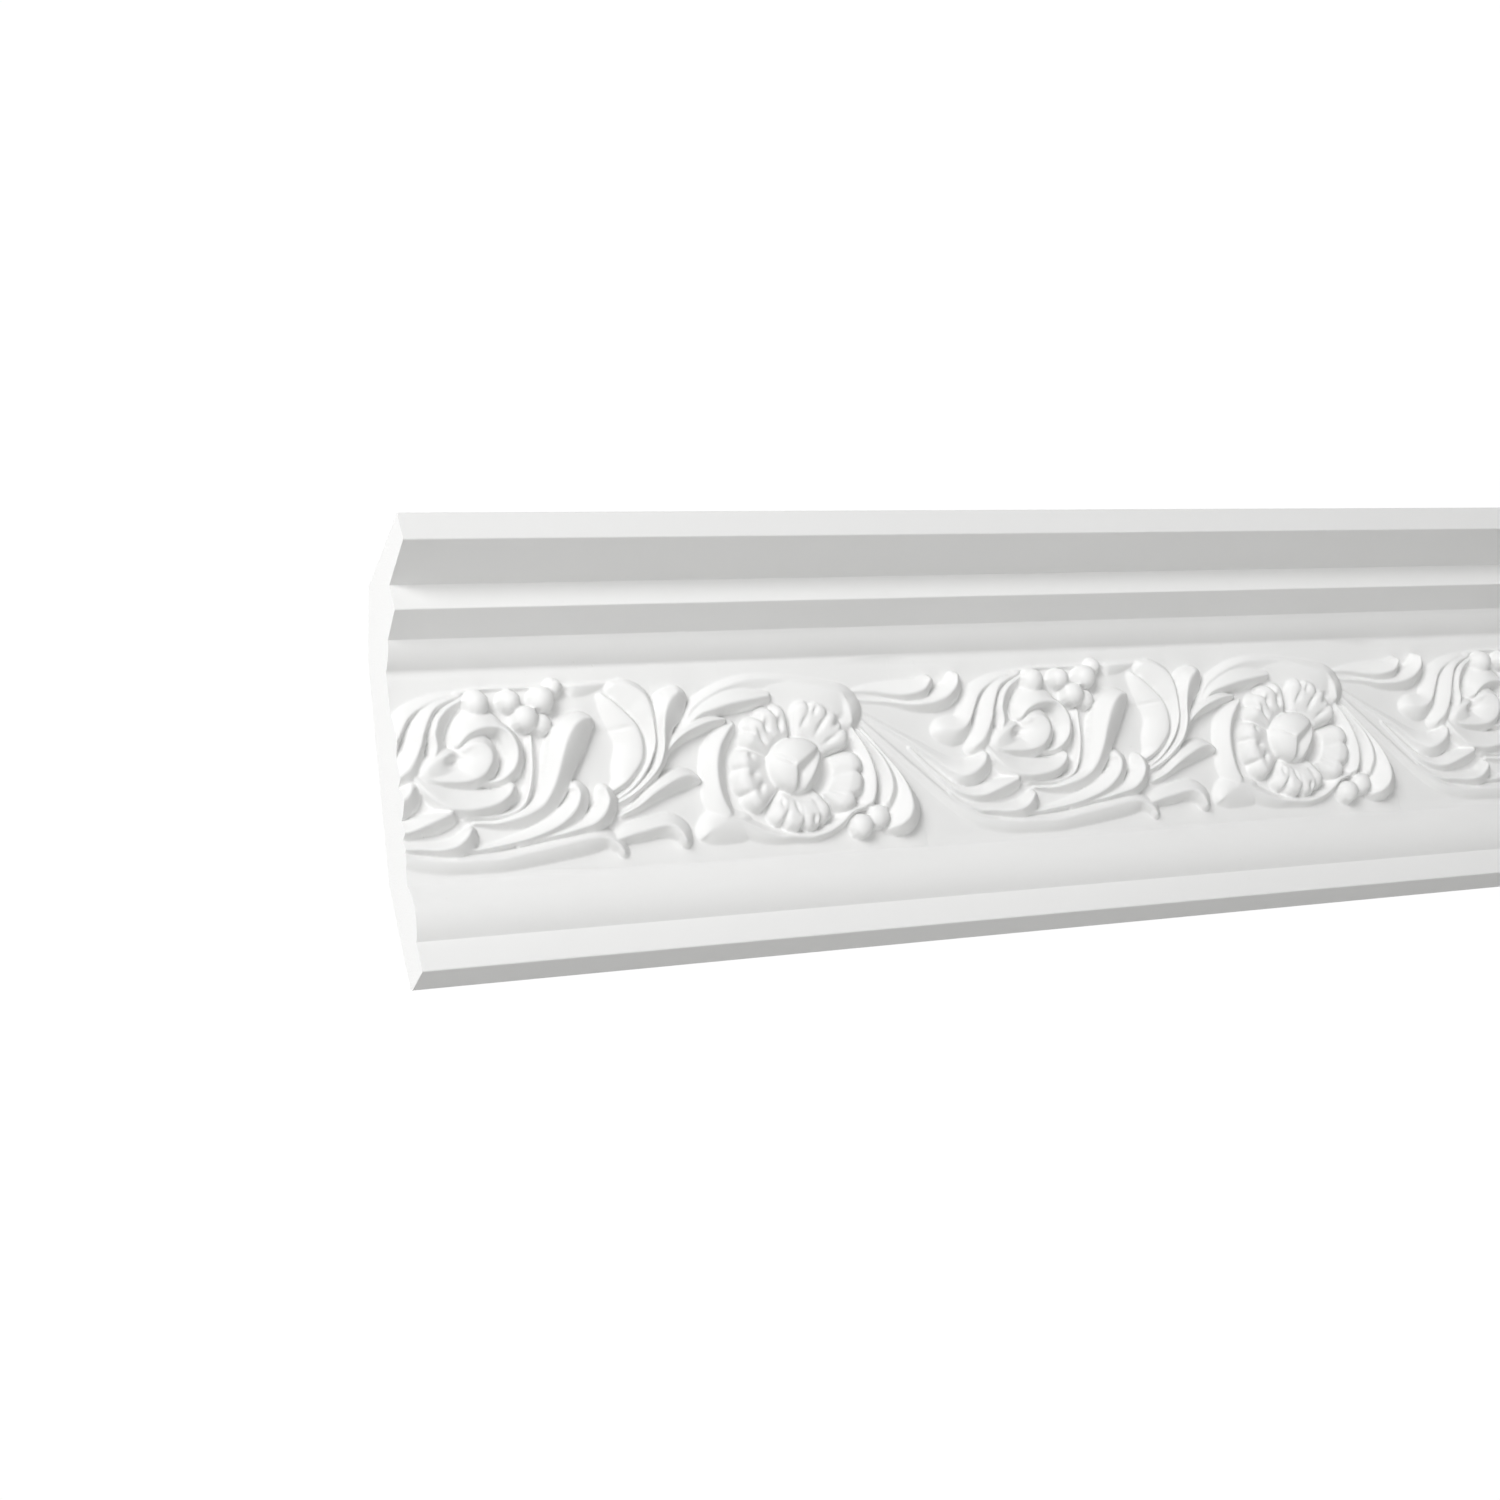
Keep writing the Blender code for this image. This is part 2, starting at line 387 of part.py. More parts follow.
def lay_frieze(frieze):
    """Tilt the flat frieze into its place on the moulding."""
    depth_step = FRIEZE_RUN / FRIEZE_WIDTH
    height_step = FRIEZE_FALL / FRIEZE_WIDTH
    for vert in frieze.verts:
        u, v, proud = vert.co
        vert.co = place(u, FRIEZE_FOOT[0] + v * depth_step + proud * height_step,
                        FRIEZE_FOOT[1] + v * height_step - proud * depth_step)


def place(along, depth, height):
    """From distances on the moulding in millimetres to the model's axes in metres."""
    return ((along - RUN_LENGTH / 2) * MM, -depth * MM, (height - WALL_MIDDLE) * MM)


def build_moulding():
    body = bmesh.new()
    body.from_mesh(carved_frieze())
    rim = settle_border(body)
    lay_frieze(body)
    outline = section()
    rings = []
    for along, corners in ((0.0, rim["start"]), (RUN_LENGTH, rim["end"])):
        ring = [body.verts.new(place(along, depth, height)) for depth, height in outline[1:-1]]
        rings.append([corners[-1]] + ring + [corners[0]])
    starts, ends = rings
    for i in range(1, len(outline) - 2):
        body.faces.new((starts[i], starts[i + 1], ends[i + 1], ends[i]))
    body.faces.new([starts[1]] + rim["top"] + [ends[1]])
    body.faces.new([starts[-2]] + rim["foot"] + [ends[-2]])
    body.faces.new(rim["start"] + starts[1:-1])
    body.faces.new(rim["end"] + ends[1:-1])
    bmesh.ops.recalc_face_normals(body, faces=body.faces)
    mesh = bpy.data.meshes.new("cornice_moulding")
    body.to_mesh(mesh)
    body.free()
    mesh.shade_smooth()
    mesh.set_sharp_from_angle(angle=SMOOTH_ANGLE)
    mesh.materials.append(cast_material())
    moulding = bpy.data.objects.new("cornice_moulding", mesh)
    bpy.context.collection.objects.link(moulding)


clear_scene()
build_moulding()
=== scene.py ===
# The finished ceiling cornice moulding: one carved casting, its white coat, its light and its camera.
import math

import bmesh
import bpy
import numpy as np
from mathutils import Matrix, Vector


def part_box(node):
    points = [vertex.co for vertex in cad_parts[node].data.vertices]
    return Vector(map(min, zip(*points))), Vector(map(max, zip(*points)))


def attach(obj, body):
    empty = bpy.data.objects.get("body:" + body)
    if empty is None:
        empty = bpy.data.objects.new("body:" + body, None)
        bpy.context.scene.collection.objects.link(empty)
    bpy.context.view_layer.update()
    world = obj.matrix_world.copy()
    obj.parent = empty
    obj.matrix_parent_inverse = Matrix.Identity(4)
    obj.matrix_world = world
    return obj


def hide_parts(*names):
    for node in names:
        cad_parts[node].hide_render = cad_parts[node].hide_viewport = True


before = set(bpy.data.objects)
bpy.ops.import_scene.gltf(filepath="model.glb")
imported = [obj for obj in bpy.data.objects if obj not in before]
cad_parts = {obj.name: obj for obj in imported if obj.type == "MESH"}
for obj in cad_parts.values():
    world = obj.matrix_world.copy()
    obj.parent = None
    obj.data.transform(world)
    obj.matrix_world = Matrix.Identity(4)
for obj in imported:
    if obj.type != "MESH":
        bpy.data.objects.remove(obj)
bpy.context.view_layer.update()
mm = 0.001
nodeName = "cornice_moulding"
boxLow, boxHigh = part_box(nodeName)
print("frame loaded:", [round((high - low) / mm) for low, high in zip(boxLow, boxHigh)], "mm")

# The casting's section as (distance from the wall, height above the foot) in millimetres
casting = {
    "length": (boxHigh.x - boxLow.x) / mm,
    "projection": (boxHigh.y - boxLow.y) / mm,
    "drop": (boxHigh.z - boxLow.z) / mm,
    "repeat": 201.0,
    "friezeFoot": (17.5, 27.4),
    "friezeTop": (39.5, 89.3),
    "ovoloTop": (47.5, 95.8),
    "ovoloRise": 1.0,
    "fasciaFoot": (59.5, 99.0),
    "fasciaTop": (59.5, 107.8),
    "filletFoot": (80.0, 110.3),
    "bulgeFoot": (14.8, 9.7),
    "bulgeRise": 3.8,
    "heelRadius": 2.0,
    "wallFlatTop": 35.8,
    "backBend": (25.0, 102.7),
    "ceilingFlatBack": 40.5,
    "arrisRadius": 0.55,
    "creaseRadius": 0.35,
    "supportGap": 0.15,
    "arcSteps": 14,
    "cornerSteps": 4,
}


# A socket of a node tree: sums and products of sockets add their Math nodes
class Wire:
    def __init__(self, nodes, socket):
        self.nodes = nodes
        self.socket = socket

    def also(self, name):                                   # another output of the same node
        return Wire(self.nodes, self.socket.node.outputs[name])

    def maths(self, operation, first, second=0.0):
        return self.nodes.add("ShaderNodeMath", {"operation": operation}, {0: first, 1: second})

    def __add__(self, other):
        return self.maths("ADD", self, other)

    def __sub__(self, other):
        return self.maths("SUBTRACT", self, other)

    def __rsub__(self, other):
        return self.maths("SUBTRACT", other, self)

    def __mul__(self, other):
        return self.maths("MULTIPLY", self, other)

    def __truediv__(self, other):
        return self.maths("DIVIDE", self, other)

    def __rtruediv__(self, other):
        return self.maths("DIVIDE", other, self)

    def __gt__(self, other):
        return self.maths("GREATER_THAN", self, other)

    def __abs__(self):
        return self.maths("ABSOLUTE", self)

    def clipped(self, low=0.0, high=1.0):
        return self.maths("MINIMUM", self.maths("MAXIMUM", self, low), high)

    __radd__ = __add__
    __rmul__ = __mul__


# A node tree that is filled node by node
class Nodes:
    def __init__(self, tree):
        self.tree = tree

    def add(self, kind, settings=None, sockets=None, out=0):
        node = self.tree.nodes.new(kind)
        for name, value in (settings or {}).items():
            setattr(node, name, value)
        self.fill(node, sockets or {})
        return Wire(self, node.outputs[out]) if len(node.outputs) else node

    def fill(self, node, sockets):
        for key, value in sockets.items():
            if isinstance(value, Wire):
                self.tree.links.new(value.socket, node.inputs[key])
            else:
                node.inputs[key].default_value = value


def newGeometryTree(name, inputs):                          # inputs: the name and type of each socket
    tree = bpy.data.node_groups.new(name, "GeometryNodeTree")
    tree.interface.new_socket(name="Geometry", in_out="INPUT", socket_type="NodeSocketGeometry")
    tree.interface.new_socket(name="Geometry", in_out="OUTPUT", socket_type="NodeSocketGeometry")
    for label, kind in inputs.items():
        tree.interface.new_socket(name=label, in_out="INPUT", socket_type="NodeSocket" + kind)
    nodes = Nodes(tree)
    return nodes, nodes.add("NodeGroupInput")


def putModifier(piece, tree, values):                       # a modifier's inputs are set by identifier
    modifier = piece.modifiers.new(tree.name, "NODES")
    modifier.node_group = tree
    for item in tree.interface.items_tree:
        if item.item_type == "SOCKET" and item.in_out == "INPUT" and item.name in values:
            modifier[item.identifier] = values[item.name]


def newPiece(name, mesh):
    piece = bpy.data.objects.new(name, mesh)
    bpy.context.scene.collection.objects.link(piece)
    return piece


def settledMesh(piece, name):                               # what the modifiers make, as a plain mesh
    mesh = bpy.data.meshes.new_from_object(piece.evaluated_get(bpy.context.evaluated_depsgraph_get()))
    mesh.name = name
    bpy.data.objects.remove(piece, do_unlink=True)
    return mesh


# Leaves and stems of one repeat, each from root to tip as stations of
# (along the run, up the frieze, reach to the left, reach to the right, height) in millimetres
leaves = {
    "outerLeaf": (
        (-11.6, 39, 3.4, 3.6, 3.2), (-9.6, 38.6, 5, 4.6, 3.9), (-6.6, 38.2, 5.8, 5.2, 4.4),
        (-3.4, 39.4, 4.8, 4.4, 4.8), (-1, 41.4, 4.8, 2, 4.6), (1.6, 45.4, 5.2, 0.9, 4.2),
        (4.7, 50.3, 4.7, 0.8, 3.7), (9.7, 53.9, 3.7, 0.6, 3), (15.2, 56.4, 2.4, 0.5, 2.4),
        (22.5, 57.5, 1.2, 0.4, 2)),
    "secondLeaf": (
        (0, 32.4, 3, 3, 4.4), (2.9, 34.7, 5, 5.5, 5), (4.9, 37.2, 5.6, 4.2, 5.2),
        (6.4, 39.7, 6, 2.8, 5.2), (7.6, 42.2, 6, 2, 5.2), (8.4, 44.7, 6.2, 1.7, 5.2),
        (10.8, 49.8, 5.4, 1.4, 4.6), (13.1, 52.8, 4.4, 1.2, 4), (16.6, 54.8, 3.4, 1, 3.2),
        (22, 57, 1.6, 0.7, 2.4)),
    "thirdLeaf": (
        (9.6, 36.6, 1.2, 2, 4.2), (11.4, 38.6, 2.2, 3.4, 4.6), (12.2, 41.4, 2.6, 4, 4.8),
        (11.7, 44.7, 1.8, 4.4, 5), (12.4, 47.4, 1.6, 4.6, 5), (13.5, 49.8, 1.5, 4.6, 4.8),
        (16.5, 52.8, 1.3, 3.8, 4), (20, 54.8, 1, 2.6, 3.2), (23.5, 56.6, 0.8, 1.2, 2.4)),
    "spiralBase": (
        (9, 35.2, 2.4, 9, 4.8), (11.4, 36.8, 3, 10, 5.2), (15, 38.4, 2.2, 9, 5.1),
        (18.4, 38.4, 2, 7, 4.8), (20.6, 38, 2, 5, 4.6)),
    "spiralTop": (
        (19.6, 41.4, 2.6, 0.8, 4.9), (20.4, 42.4, 3.6, 1.4, 5.2), (22.6, 44.4, 6.4, 2, 6),
        (26.2, 45.8, 8, 2.4, 6.3), (29.6, 46.2, 6.4, 2.2, 6.3), (32.4, 45.8, 3.8, 1.2, 6.2)),
    "spiralRing": (
        (31.4, 46.6, 3, 2.4, 6.2), (34.6, 45, 3, 2.8, 6.3), (36.8, 41.6, 3.6, 3.6, 6.3),
        (37.4, 37.8, 4, 3.8, 6), (36.2, 33.6, 3.8, 3.6, 5.4), (32.4, 30.4, 2.6, 2.2, 4.6),
        (28.5, 29.5, 1.4, 1.2, 3.8), (24, 29.2, 0.8, 0.8, 3)),
    "spiralHeart": (
        (6.5, 32.4, 2.4, 1.4, 3.6), (11.5, 30.5, 5.6, 1.4, 4.4), (16.5, 29.8, 7.4, 1.2, 4.8),
        (21.5, 29.9, 8, 1.2, 5.4), (25.8, 31.5, 11, 1.8, 6.2), (28.4, 34.8, 11.4, 3, 6.6),
        (28.9, 38, 11.4, 3.4, 6.6), (27.4, 40.6, 11, 2.6, 6.4), (24.6, 41.6, 9, 1.6, 6),
        (21.8, 40.6, 6, 1.2, 5.4)),
    "underLeaf": (
        (5, 31.5, 4.3, 0.6, 3.4), (8.5, 26.5, 7.4, 0.6, 4), (13.5, 22.5, 8.3, 0.8, 4.4),
        (19.5, 21, 8.2, 1.2, 4.8), (25, 21.4, 7.2, 2.2, 5.4), (30, 22.8, 5.6, 3.4, 5.8),
        (33.4, 25.2, 3.6, 3.8, 5.8), (35, 27.6, 1.8, 2.8, 5.4)),
    "thinStem": (
        (20, 19, 1.2, 0.6, 2.6), (28, 18.5, 1.5, 0.7, 3), (34.4, 19.5, 1.6, 1, 3.4),
        (38.6, 22, 1.5, 1.4, 3.6), (41, 27, 1.5, 1.7, 3.8), (42.3, 33, 1.5, 2, 3.8),
        (42.9, 39, 1.3, 1.9, 3.4), (43.3, 43.5, 0.8, 1.2, 3)),
    "greatLeaf": (
        (22.5, 17.5, 0.8, 0.9, 2.2), (30, 17, 1.2, 2.1, 3), (37.5, 18.5, 2.4, 3.9, 4.2),
        (43.4, 21, 3.2, 4.9, 5), (46.8, 25, 3.6, 6, 6), (49.4, 30.5, 4.2, 7, 6.8),
        (51.3, 36, 4.8, 8, 7.4), (53.4, 41, 5.6, 9, 7.6), (56.2, 45.2, 5.2, 8.4, 7.5),
        (59.4, 47.4, 3.4, 6.4, 6.8), (62, 47.8, 2, 4.6, 6)),
    "outerRim": (
        (20.5, 58, 1, 0.8, 2), (30.5, 59, 0.9, 0.8, 1.8), (42.5, 59, 0.9, 0.8, 1.8),
        (54.5, 59, 1, 3.3, 2), (62, 59.2, 1, 3.6, 1.9), (67, 59.4, 1, 2.4, 1.4),
        (71, 59.6, 0.8, 1, 0.8)),
    "fanInner": (
        (68.5, 24.5, 1.4, 0.8, 2.8), (73, 27, 4.4, 1.3, 3.5), (76.5, 30.5, 7.4, 2.1, 4.1),
        (79, 34.5, 8.4, 2.8, 4.5), (79.5, 39.5, 8, 2.6, 4.6), (78.5, 44.5, 8, 1.4, 4.4),
        (75.5, 49, 6.8, 1, 3.8), (71.8, 53.2, 4.8, 0.9, 2.9), (69.4, 55.4, 3, 0.8, 2.2)),
    "fanFirst": (
        (70, 22, 0.8, 0.6, 2.8), (75, 25, 1.3, 0.7, 3.6), (79, 29, 1.6, 0.9, 4.4),
        (82, 33.5, 1.9, 1, 5), (84, 39, 2.9, 1.2, 5.4), (84, 45, 4.5, 1.6, 5.6),
        (83.5, 50, 7.2, 2.7, 5.6), (82, 54.5, 8.1, 3.1, 5), (78, 58, 7.5, 2.2, 4),
        (73.5, 59, 4.5, 1.5, 3)),
    "fanSecond": (
        (70.5, 21, 0.8, 1, 2.8), (75.5, 23.5, 1.2, 1.4, 3.8), (80, 27, 1.5, 2.1, 4.8),
        (84, 31.5, 1.7, 3, 5.8), (86, 37, 1.7, 4.1, 6.4), (86.5, 43, 1.7, 5.4, 6.8),
        (87.5, 48.5, 2.4, 7.6, 7.2), (89.5, 52.3, 3.6, 8.4, 7.2), (92.6, 54.6, 2.8, 6.6, 6.4)),
    "fanThird": (
        (86, 33.5, 0.6, 1.6, 4.2), (90, 38.5, 1.4, 2.1, 5), (94, 41.5, 2.4, 2.6, 5.6),
        (98.5, 43.5, 3, 3, 5.8), (103.5, 45, 2.6, 2.8, 5.6), (109.3, 45.6, 1.3, 1.6, 5)),
    "fanFourth": (
        (92.5, 40, 0.6, 0.7, 3), (96, 44, 1.8, 1.1, 3.8), (101, 47.5, 4, 1.6, 4.6),
        (106, 49, 6, 2.5, 5.2), (112, 50.5, 6, 3, 5.6), (118, 51.5, 5, 3.2, 5.6),
        (125.6, 52.6, 2.6, 2.3, 5)),
    "archStem": (
        (91.5, 40, 1, 0.7, 2.6), (95.5, 45, 2, 0.9, 2.9), (99.5, 50, 2.8, 1.1, 3.1),
        (105, 53.5, 3, 1.6, 3.1), (112, 56.5, 3, 3, 2.9), (120, 58.5, 2.5, 4.5, 2.6),
        (130.5, 58.5, 2.1, 5.5, 2.3), (138.5, 57.5, 1.7, 5.5, 1.9), (147, 56.5, 1.4, 3.8, 1.4)),
    "fanFifth": (
        (71, 17, 0.9, 1, 3), (76.5, 19.5, 1.8, 2.1, 4), (81.5, 23, 2.8, 3.4, 5),
        (87, 26, 3.6, 4.4, 5.4), (92, 28, 3.4, 5, 5.2), (96, 28, 2.2, 3.6, 4.6),
        (98.5, 26.5, 1.2, 1.4, 4.2)),
    "fanSixth": (
        (67.5, 9, 2.6, 1.9, 3.4), (72.5, 10.4, 4.2, 2.9, 4), (78.5, 11.6, 4.6, 3.4, 4.4),
        (84, 12.6, 4.4, 3.6, 4.7), (87.2, 12, 5, 3.3, 4.9), (89.4, 9.6, 5.6, 1.5, 4.9),
        (90.8, 7.2, 4.2, 0.7, 4.3)),
    "collar": (
        (128.5, 55.5, 3.6, 8, 2.2), (137, 55, 4.4, 14, 3.2), (145.5, 53.8, 4, 18, 4.3),
        (149.6, 53.2, 3.4, 17, 4.7), (152, 52.6, 2.2, 12, 4.7), (153.4, 50.8, 3, 7, 4.9),
        (154, 48, 7, 5, 5.1), (154.4, 45.4, 5.6, 4, 5.1), (155, 43, 2.4, 3, 4.7)),
    "tendrilOne": (
        (158, 53.5, 1, 0.7, 0.9), (166, 52.8, 3.4, 0.9, 1.6), (172.5, 51.6, 5.2, 1.4, 2.8),
        (178, 51.2, 6, 2.2, 4.4), (183.4, 52.6, 5, 3.4, 5.4), (186.4, 55.8, 2.4, 3.2, 5.2)),
    "tendrilTwo": (
        (160, 50.5, 0.8, 1, 1), (171, 49.4, 1.2, 1.4, 1.8), (179, 48, 2, 2.2, 3),
        (186.5, 48.2, 3.4, 3.2, 4.2), (192, 50, 4.6, 4.2, 5.4), (195.6, 53.2, 3.6, 4.6, 5.8),
        (196.8, 56.6, 1.8, 3.4, 5.4)),
    "stemUpper": (
        (-40, 46, 1, 0.7, 1.1), (-30, 39.5, 1.7, 1, 1.3), (-22, 34, 2.6, 1.3, 1.6),
        (-15.5, 29, 3.7, 0.9, 2), (-11, 25, 5.3, 0.7, 2.8), (-6.5, 22.5, 6.8, 1.7, 4.2),
        (-2.5, 23.5, 5.6, 4.8, 5.2), (1.5, 26.5, 3.5, 5.6, 5.4), (3, 29, 1.2, 4, 5)),
    "stemMiddle": (
        (-24, 33.5, 0.8, 0.5, 1.3), (-16, 25, 1.5, 0.7, 1.5), (-9.5, 19, 2.6, 1, 2),
        (-4, 16, 3.8, 0.8, 2.8), (1, 15.5, 4.6, 1.5, 3.8), (5.5, 17, 4.1, 3, 4.8),
        (10.5, 19, 2.9, 4.4, 5.2), (14.5, 20.5, 1.6, 3.8, 5)),
    "stemLobe": (
        (-11, 17, 1.1, 0.5, 1.6), (-6.5, 13, 2.2, 0.5, 2), (-0.5, 10.5, 3.2, 0.5, 2.4),
        (5, 10, 3.6, 0.8, 3), (10.5, 9.5, 3.7, 1.6, 4), (15.5, 10.5, 3.2, 3.8, 4.8),
        (18.5, 13, 1.8, 5.4, 5.2), (20, 15, 0.6, 3.8, 5)),
    "stemLower": (
        (-40, 43, 0.9, 1.6, 1.1), (-30, 33.5, 1.2, 2.2, 1.3), (-20, 24, 1.3, 2.7, 1.5),
        (-10, 15, 1.4, 3.1, 1.6), (-0.5, 9, 1.7, 3.5, 1.9), (10, 6.5, 1.9, 3.9, 2.3),
        (20, 6, 2.1, 4.1, 2.6), (30, 6, 2.3, 4.3, 2.9), (40, 7.5, 2.5, 4.8, 3.3),
        (50, 9, 2.9, 5.1, 3.6), (59.5, 10.5, 2.9, 5.2, 3.8), (65, 9.8, 3.6, 3.2, 3.8),
        (68.2, 7.2, 4.2, 1.4, 3.7), (69.8, 5, 3.4, 0.6, 3.2)),
    "lowLobe": (
        (14.5, 8.5, 0.8, 0.6, 2.2), (24, 9, 1.5, 0.6, 2.6), (33, 10, 2.7, 0.7, 3.2),
        (40.5, 11.5, 3.7, 1.1, 4), (47.5, 14, 4.6, 2.4, 4.8), (52, 17, 4.6, 4, 5.6),
        (55, 20.5, 3.5, 5.2, 6.2), (56, 24, 1.9, 5.6, 6.2), (55.5, 26, 1.1, 4.2, 5.6)),
    "lowLobeTwo": (
        (36, 9.5, 0.8, 0.6, 2.6), (44, 11, 1.6, 0.8, 3.2), (50.5, 12, 2.7, 1.2, 4),
        (57, 13.5, 3.7, 1.8, 4.8), (61, 15, 4.3, 3.5, 5.6), (64, 18, 4.2, 5, 6.2),
        (65.5, 21.5, 2.8, 5.1, 6.2), (65, 24.5, 1.2, 3.7, 5.6)),
    "ringLeft": (
        (107.4, 15.5, 6, 3, 4), (105, 20, 5.4, 4.2, 4.8), (103.9, 25.5, 4.8, 4.8, 5.2),
        (104.3, 31.5, 4.8, 4.8, 5.2), (106.2, 37, 5, 4.2, 5), (109.2, 41.2, 3.6, 3.6, 4.6),
        (112, 44, 1.6, 2.2, 4)),
    "ringFoot": (
        (97.8, 8, 1.3, 0.8, 2.4), (99.2, 9.2, 3.4, 2.6, 3.1), (102, 11, 5.4, 5.4, 3.4),
        (106, 12.4, 5.4, 7, 3.3), (111, 13, 3, 7.4, 3)),
    "ringLow": (
        (108, 14, 2.8, 4.2, 3.4), (113, 11.8, 2.8, 4.7, 3.2), (119, 8.8, 2.8, 4, 3),
        (125, 6.8, 2.8, 3, 2.8), (131, 6.2, 2.8, 2.2, 2.8), (137, 5.8, 2.8, 1.8, 3),
        (143, 7.3, 2.8, 2, 3.4), (147.5, 9.8, 2.6, 2, 3.8), (151.5, 12.8, 3, 1.4, 4.2),
        (156, 14, 3, 0.9, 4.4)),
    "calyxOne": (
        (155.5, 41.5, 0.6, 1.2, 3), (158, 36.5, 1.1, 2.6, 3.8), (160, 31.5, 1.3, 4.2, 4.4),
        (161, 25.5, 1.6, 6, 5), (160.5, 20, 2, 6.4, 5.2), (159, 16, 2, 5.6, 5), (157, 15, 1.7, 3, 4.4)),
    "calyxTwo": (
        (158, 40.5, 0.7, 0.4, 3), (161.5, 35, 1.3, 0.8, 4), (164.5, 29.5, 3, 1.7, 5.2),
        (166, 24, 5, 2.4, 6), (166, 19.5, 5.8, 2.8, 6), (164.6, 15.6, 4.4, 2.4, 5.2)),
    "calyxThree": (
        (159.5, 40.5, 0.7, 0.4, 3), (163.5, 34.5, 1.3, 0.7, 4), (167.5, 28.5, 1.6, 1.6, 5.1),
        (170.4, 23, 2.6, 3.2, 6.2), (172, 17.5, 4.2, 5, 7), (172.2, 13.2, 6, 6.8, 7.2),
        (171, 10.2, 6.1, 6.4, 7), (168.4, 7.8, 3.6, 4, 6), (165.8, 7, 1.8, 2.2, 4.6)),
}

# How the carving is cut: a side that is wide for its height is full and round, a narrow one is a straight
# flank over a low upright edge
carving = {
    "gridStep": 0.4,
    "curveSteps": 6,
    "broadPower": 1.6,
    "broadRound": 0.72,
    "broadFrom": 1.7,                                       # reach over height where a side counts as broad
    "steepPower": 1.15,
    "steepRound": 1.0,
    "steepUpTo": 0.9,
    "tuck": 0.14,                                           # share by which a steep flank draws in
    "edgeShare": 0.6,                                       # of the height: upright edge under a steep flank,
    "edgeFrom": 2.4,                                        # where it rises above this many millimetres
    "edgeMost": 2.8,
    "berryEdge": 0.45,                                      # upright edge under a berry, of its height
    "berryRound": 0.6,
    "seam": 0.35,                                           # fillet where two forms meet
    "softness": 0.3,                                        # of every edge, as cast
    "cutSlack": 0.1,                                        # points this little past the cut stay
    "weld": 0.01,                                           # points nearer than this are one
    "rimSlack": 0.2,                                        # a rim point this near a side belongs to it
    "triangles": 188000,                                    # about, after the frieze is thinned
}


def smoothStations(stations, steps):                        # a smooth curve through every column of the table
    points = np.array(stations, float)
    padded = np.vstack([2 * points[0] - points[1], points, 2 * points[-1] - points[-2]])
    curve = []
    for before, start, end, after in zip(padded, padded[1:], padded[2:], padded[3:]):
        for t in np.arange(steps) / steps:
            linear = (end - before) * t
            square = (2 * before - 5 * start + 4 * end - after) * t * t
            cube = (3 * start - before - 3 * end + after) * t ** 3
            curve.append(0.5 * (2 * start + linear + square + cube))
    curve.append(padded[-2])
    curve = np.array(curve)
    curve[:, 2:] = np.maximum(curve[:, 2:], points[:, 2:].min(axis=0))
    return curve


def joined(low, high):                                      # the greater height, with a small fillet between
    seam = carving["seam"]
    share = np.clip(0.5 + 0.5 * (high - low) / seam, 0, 1)
    return low + (high - low) * share + seam * share * (1 - share)


def raiseLeaf(relief, u, v, stations):
    curve = smoothStations(stations, carving["curveSteps"])
    margin = curve[:, 2:4].max()
    low = curve[:, :2].min(axis=0) - margin
    high = curve[:, :2].max(axis=0) + margin
    near = (u > low[0]) & (u < high[0]) & (v > low[1]) & (v < high[1])
    if not near.any():
        return
    best = np.zeros(near.sum())
    for start, end in zip(curve, curve[1:]):
        step = end - start
        du, dv = u[near] - start[0], v[near] - start[1]
        t = np.clip((du * step[0] + dv * step[1]) / (step[0] ** 2 + step[1] ** 2), 0, 1)
        du, dv = du - t * step[0], dv - t * step[1]
        distance = np.hypot(du, dv) + 1e-9                  # never nought
        turn = (du * step[1] - dv * step[0]) / (distance * math.hypot(step[0], step[1]))
        toRight = (1 + np.clip(turn, -1, 1)) / 2
        reachLeft, reachRight, top = (start[k] + step[k] * t for k in (2, 3, 4))
        reach = reachLeft + (reachRight - reachLeft) * toRight
        steep = np.interp(reach / top, (carving["steepUpTo"], carving["broadFrom"]), (1, 0))
        power = carving["broadPower"] + (carving["steepPower"] - carving["broadPower"]) * steep
        roundness = carving["broadRound"] + (carving["steepRound"] - carving["broadRound"]) * steep
        reach = reach * (1 - carving["tuck"] * steep)
        side = (1 - np.clip(distance / reach, 0, 1) ** power) ** roundness
        edge = steep * np.clip(carving["edgeShare"] * (top - carving["edgeFrom"]), 0, carving["edgeMost"])
        best = np.maximum(best, np.where(distance < reach, edge + (top - edge) * side, 0))
    relief[near] = joined(relief[near], best)


def bell(distance, width):
    return np.exp(-(distance / width) ** 2)


berries = {                                                 # place, radius, height
    "one": ((26.7, 54.4), 4.1, 6.2),
    "two": ((37.6, 54.6), 3.6, 6),
    "three": ((48.2, 54.8), 4.1, 6.2),
    "four": ((42, 48.9), 4.3, 6.6),
    "five": ((47.4, 47), 3.4, 4.6),
    "six": ((52.8, 58.6), 2.9, 4),
    "seven": ((154.8, 8.3), 4.1, 5.6),
    "eight": ((161.2, 10.9), 4, 5.6),
}


def raiseBerry(relief, u, v, centre, radius, height):
    across = np.hypot(u - centre[0], v - centre[1]) / radius
    cap = np.clip(1 - across ** 2, 0, 1) ** carving["berryRound"]
    berry = height * (carving["berryEdge"] + (1 - carving["berryEdge"]) * cap)
    relief[:] = np.where(across < 1, joined(relief, berry), relief)


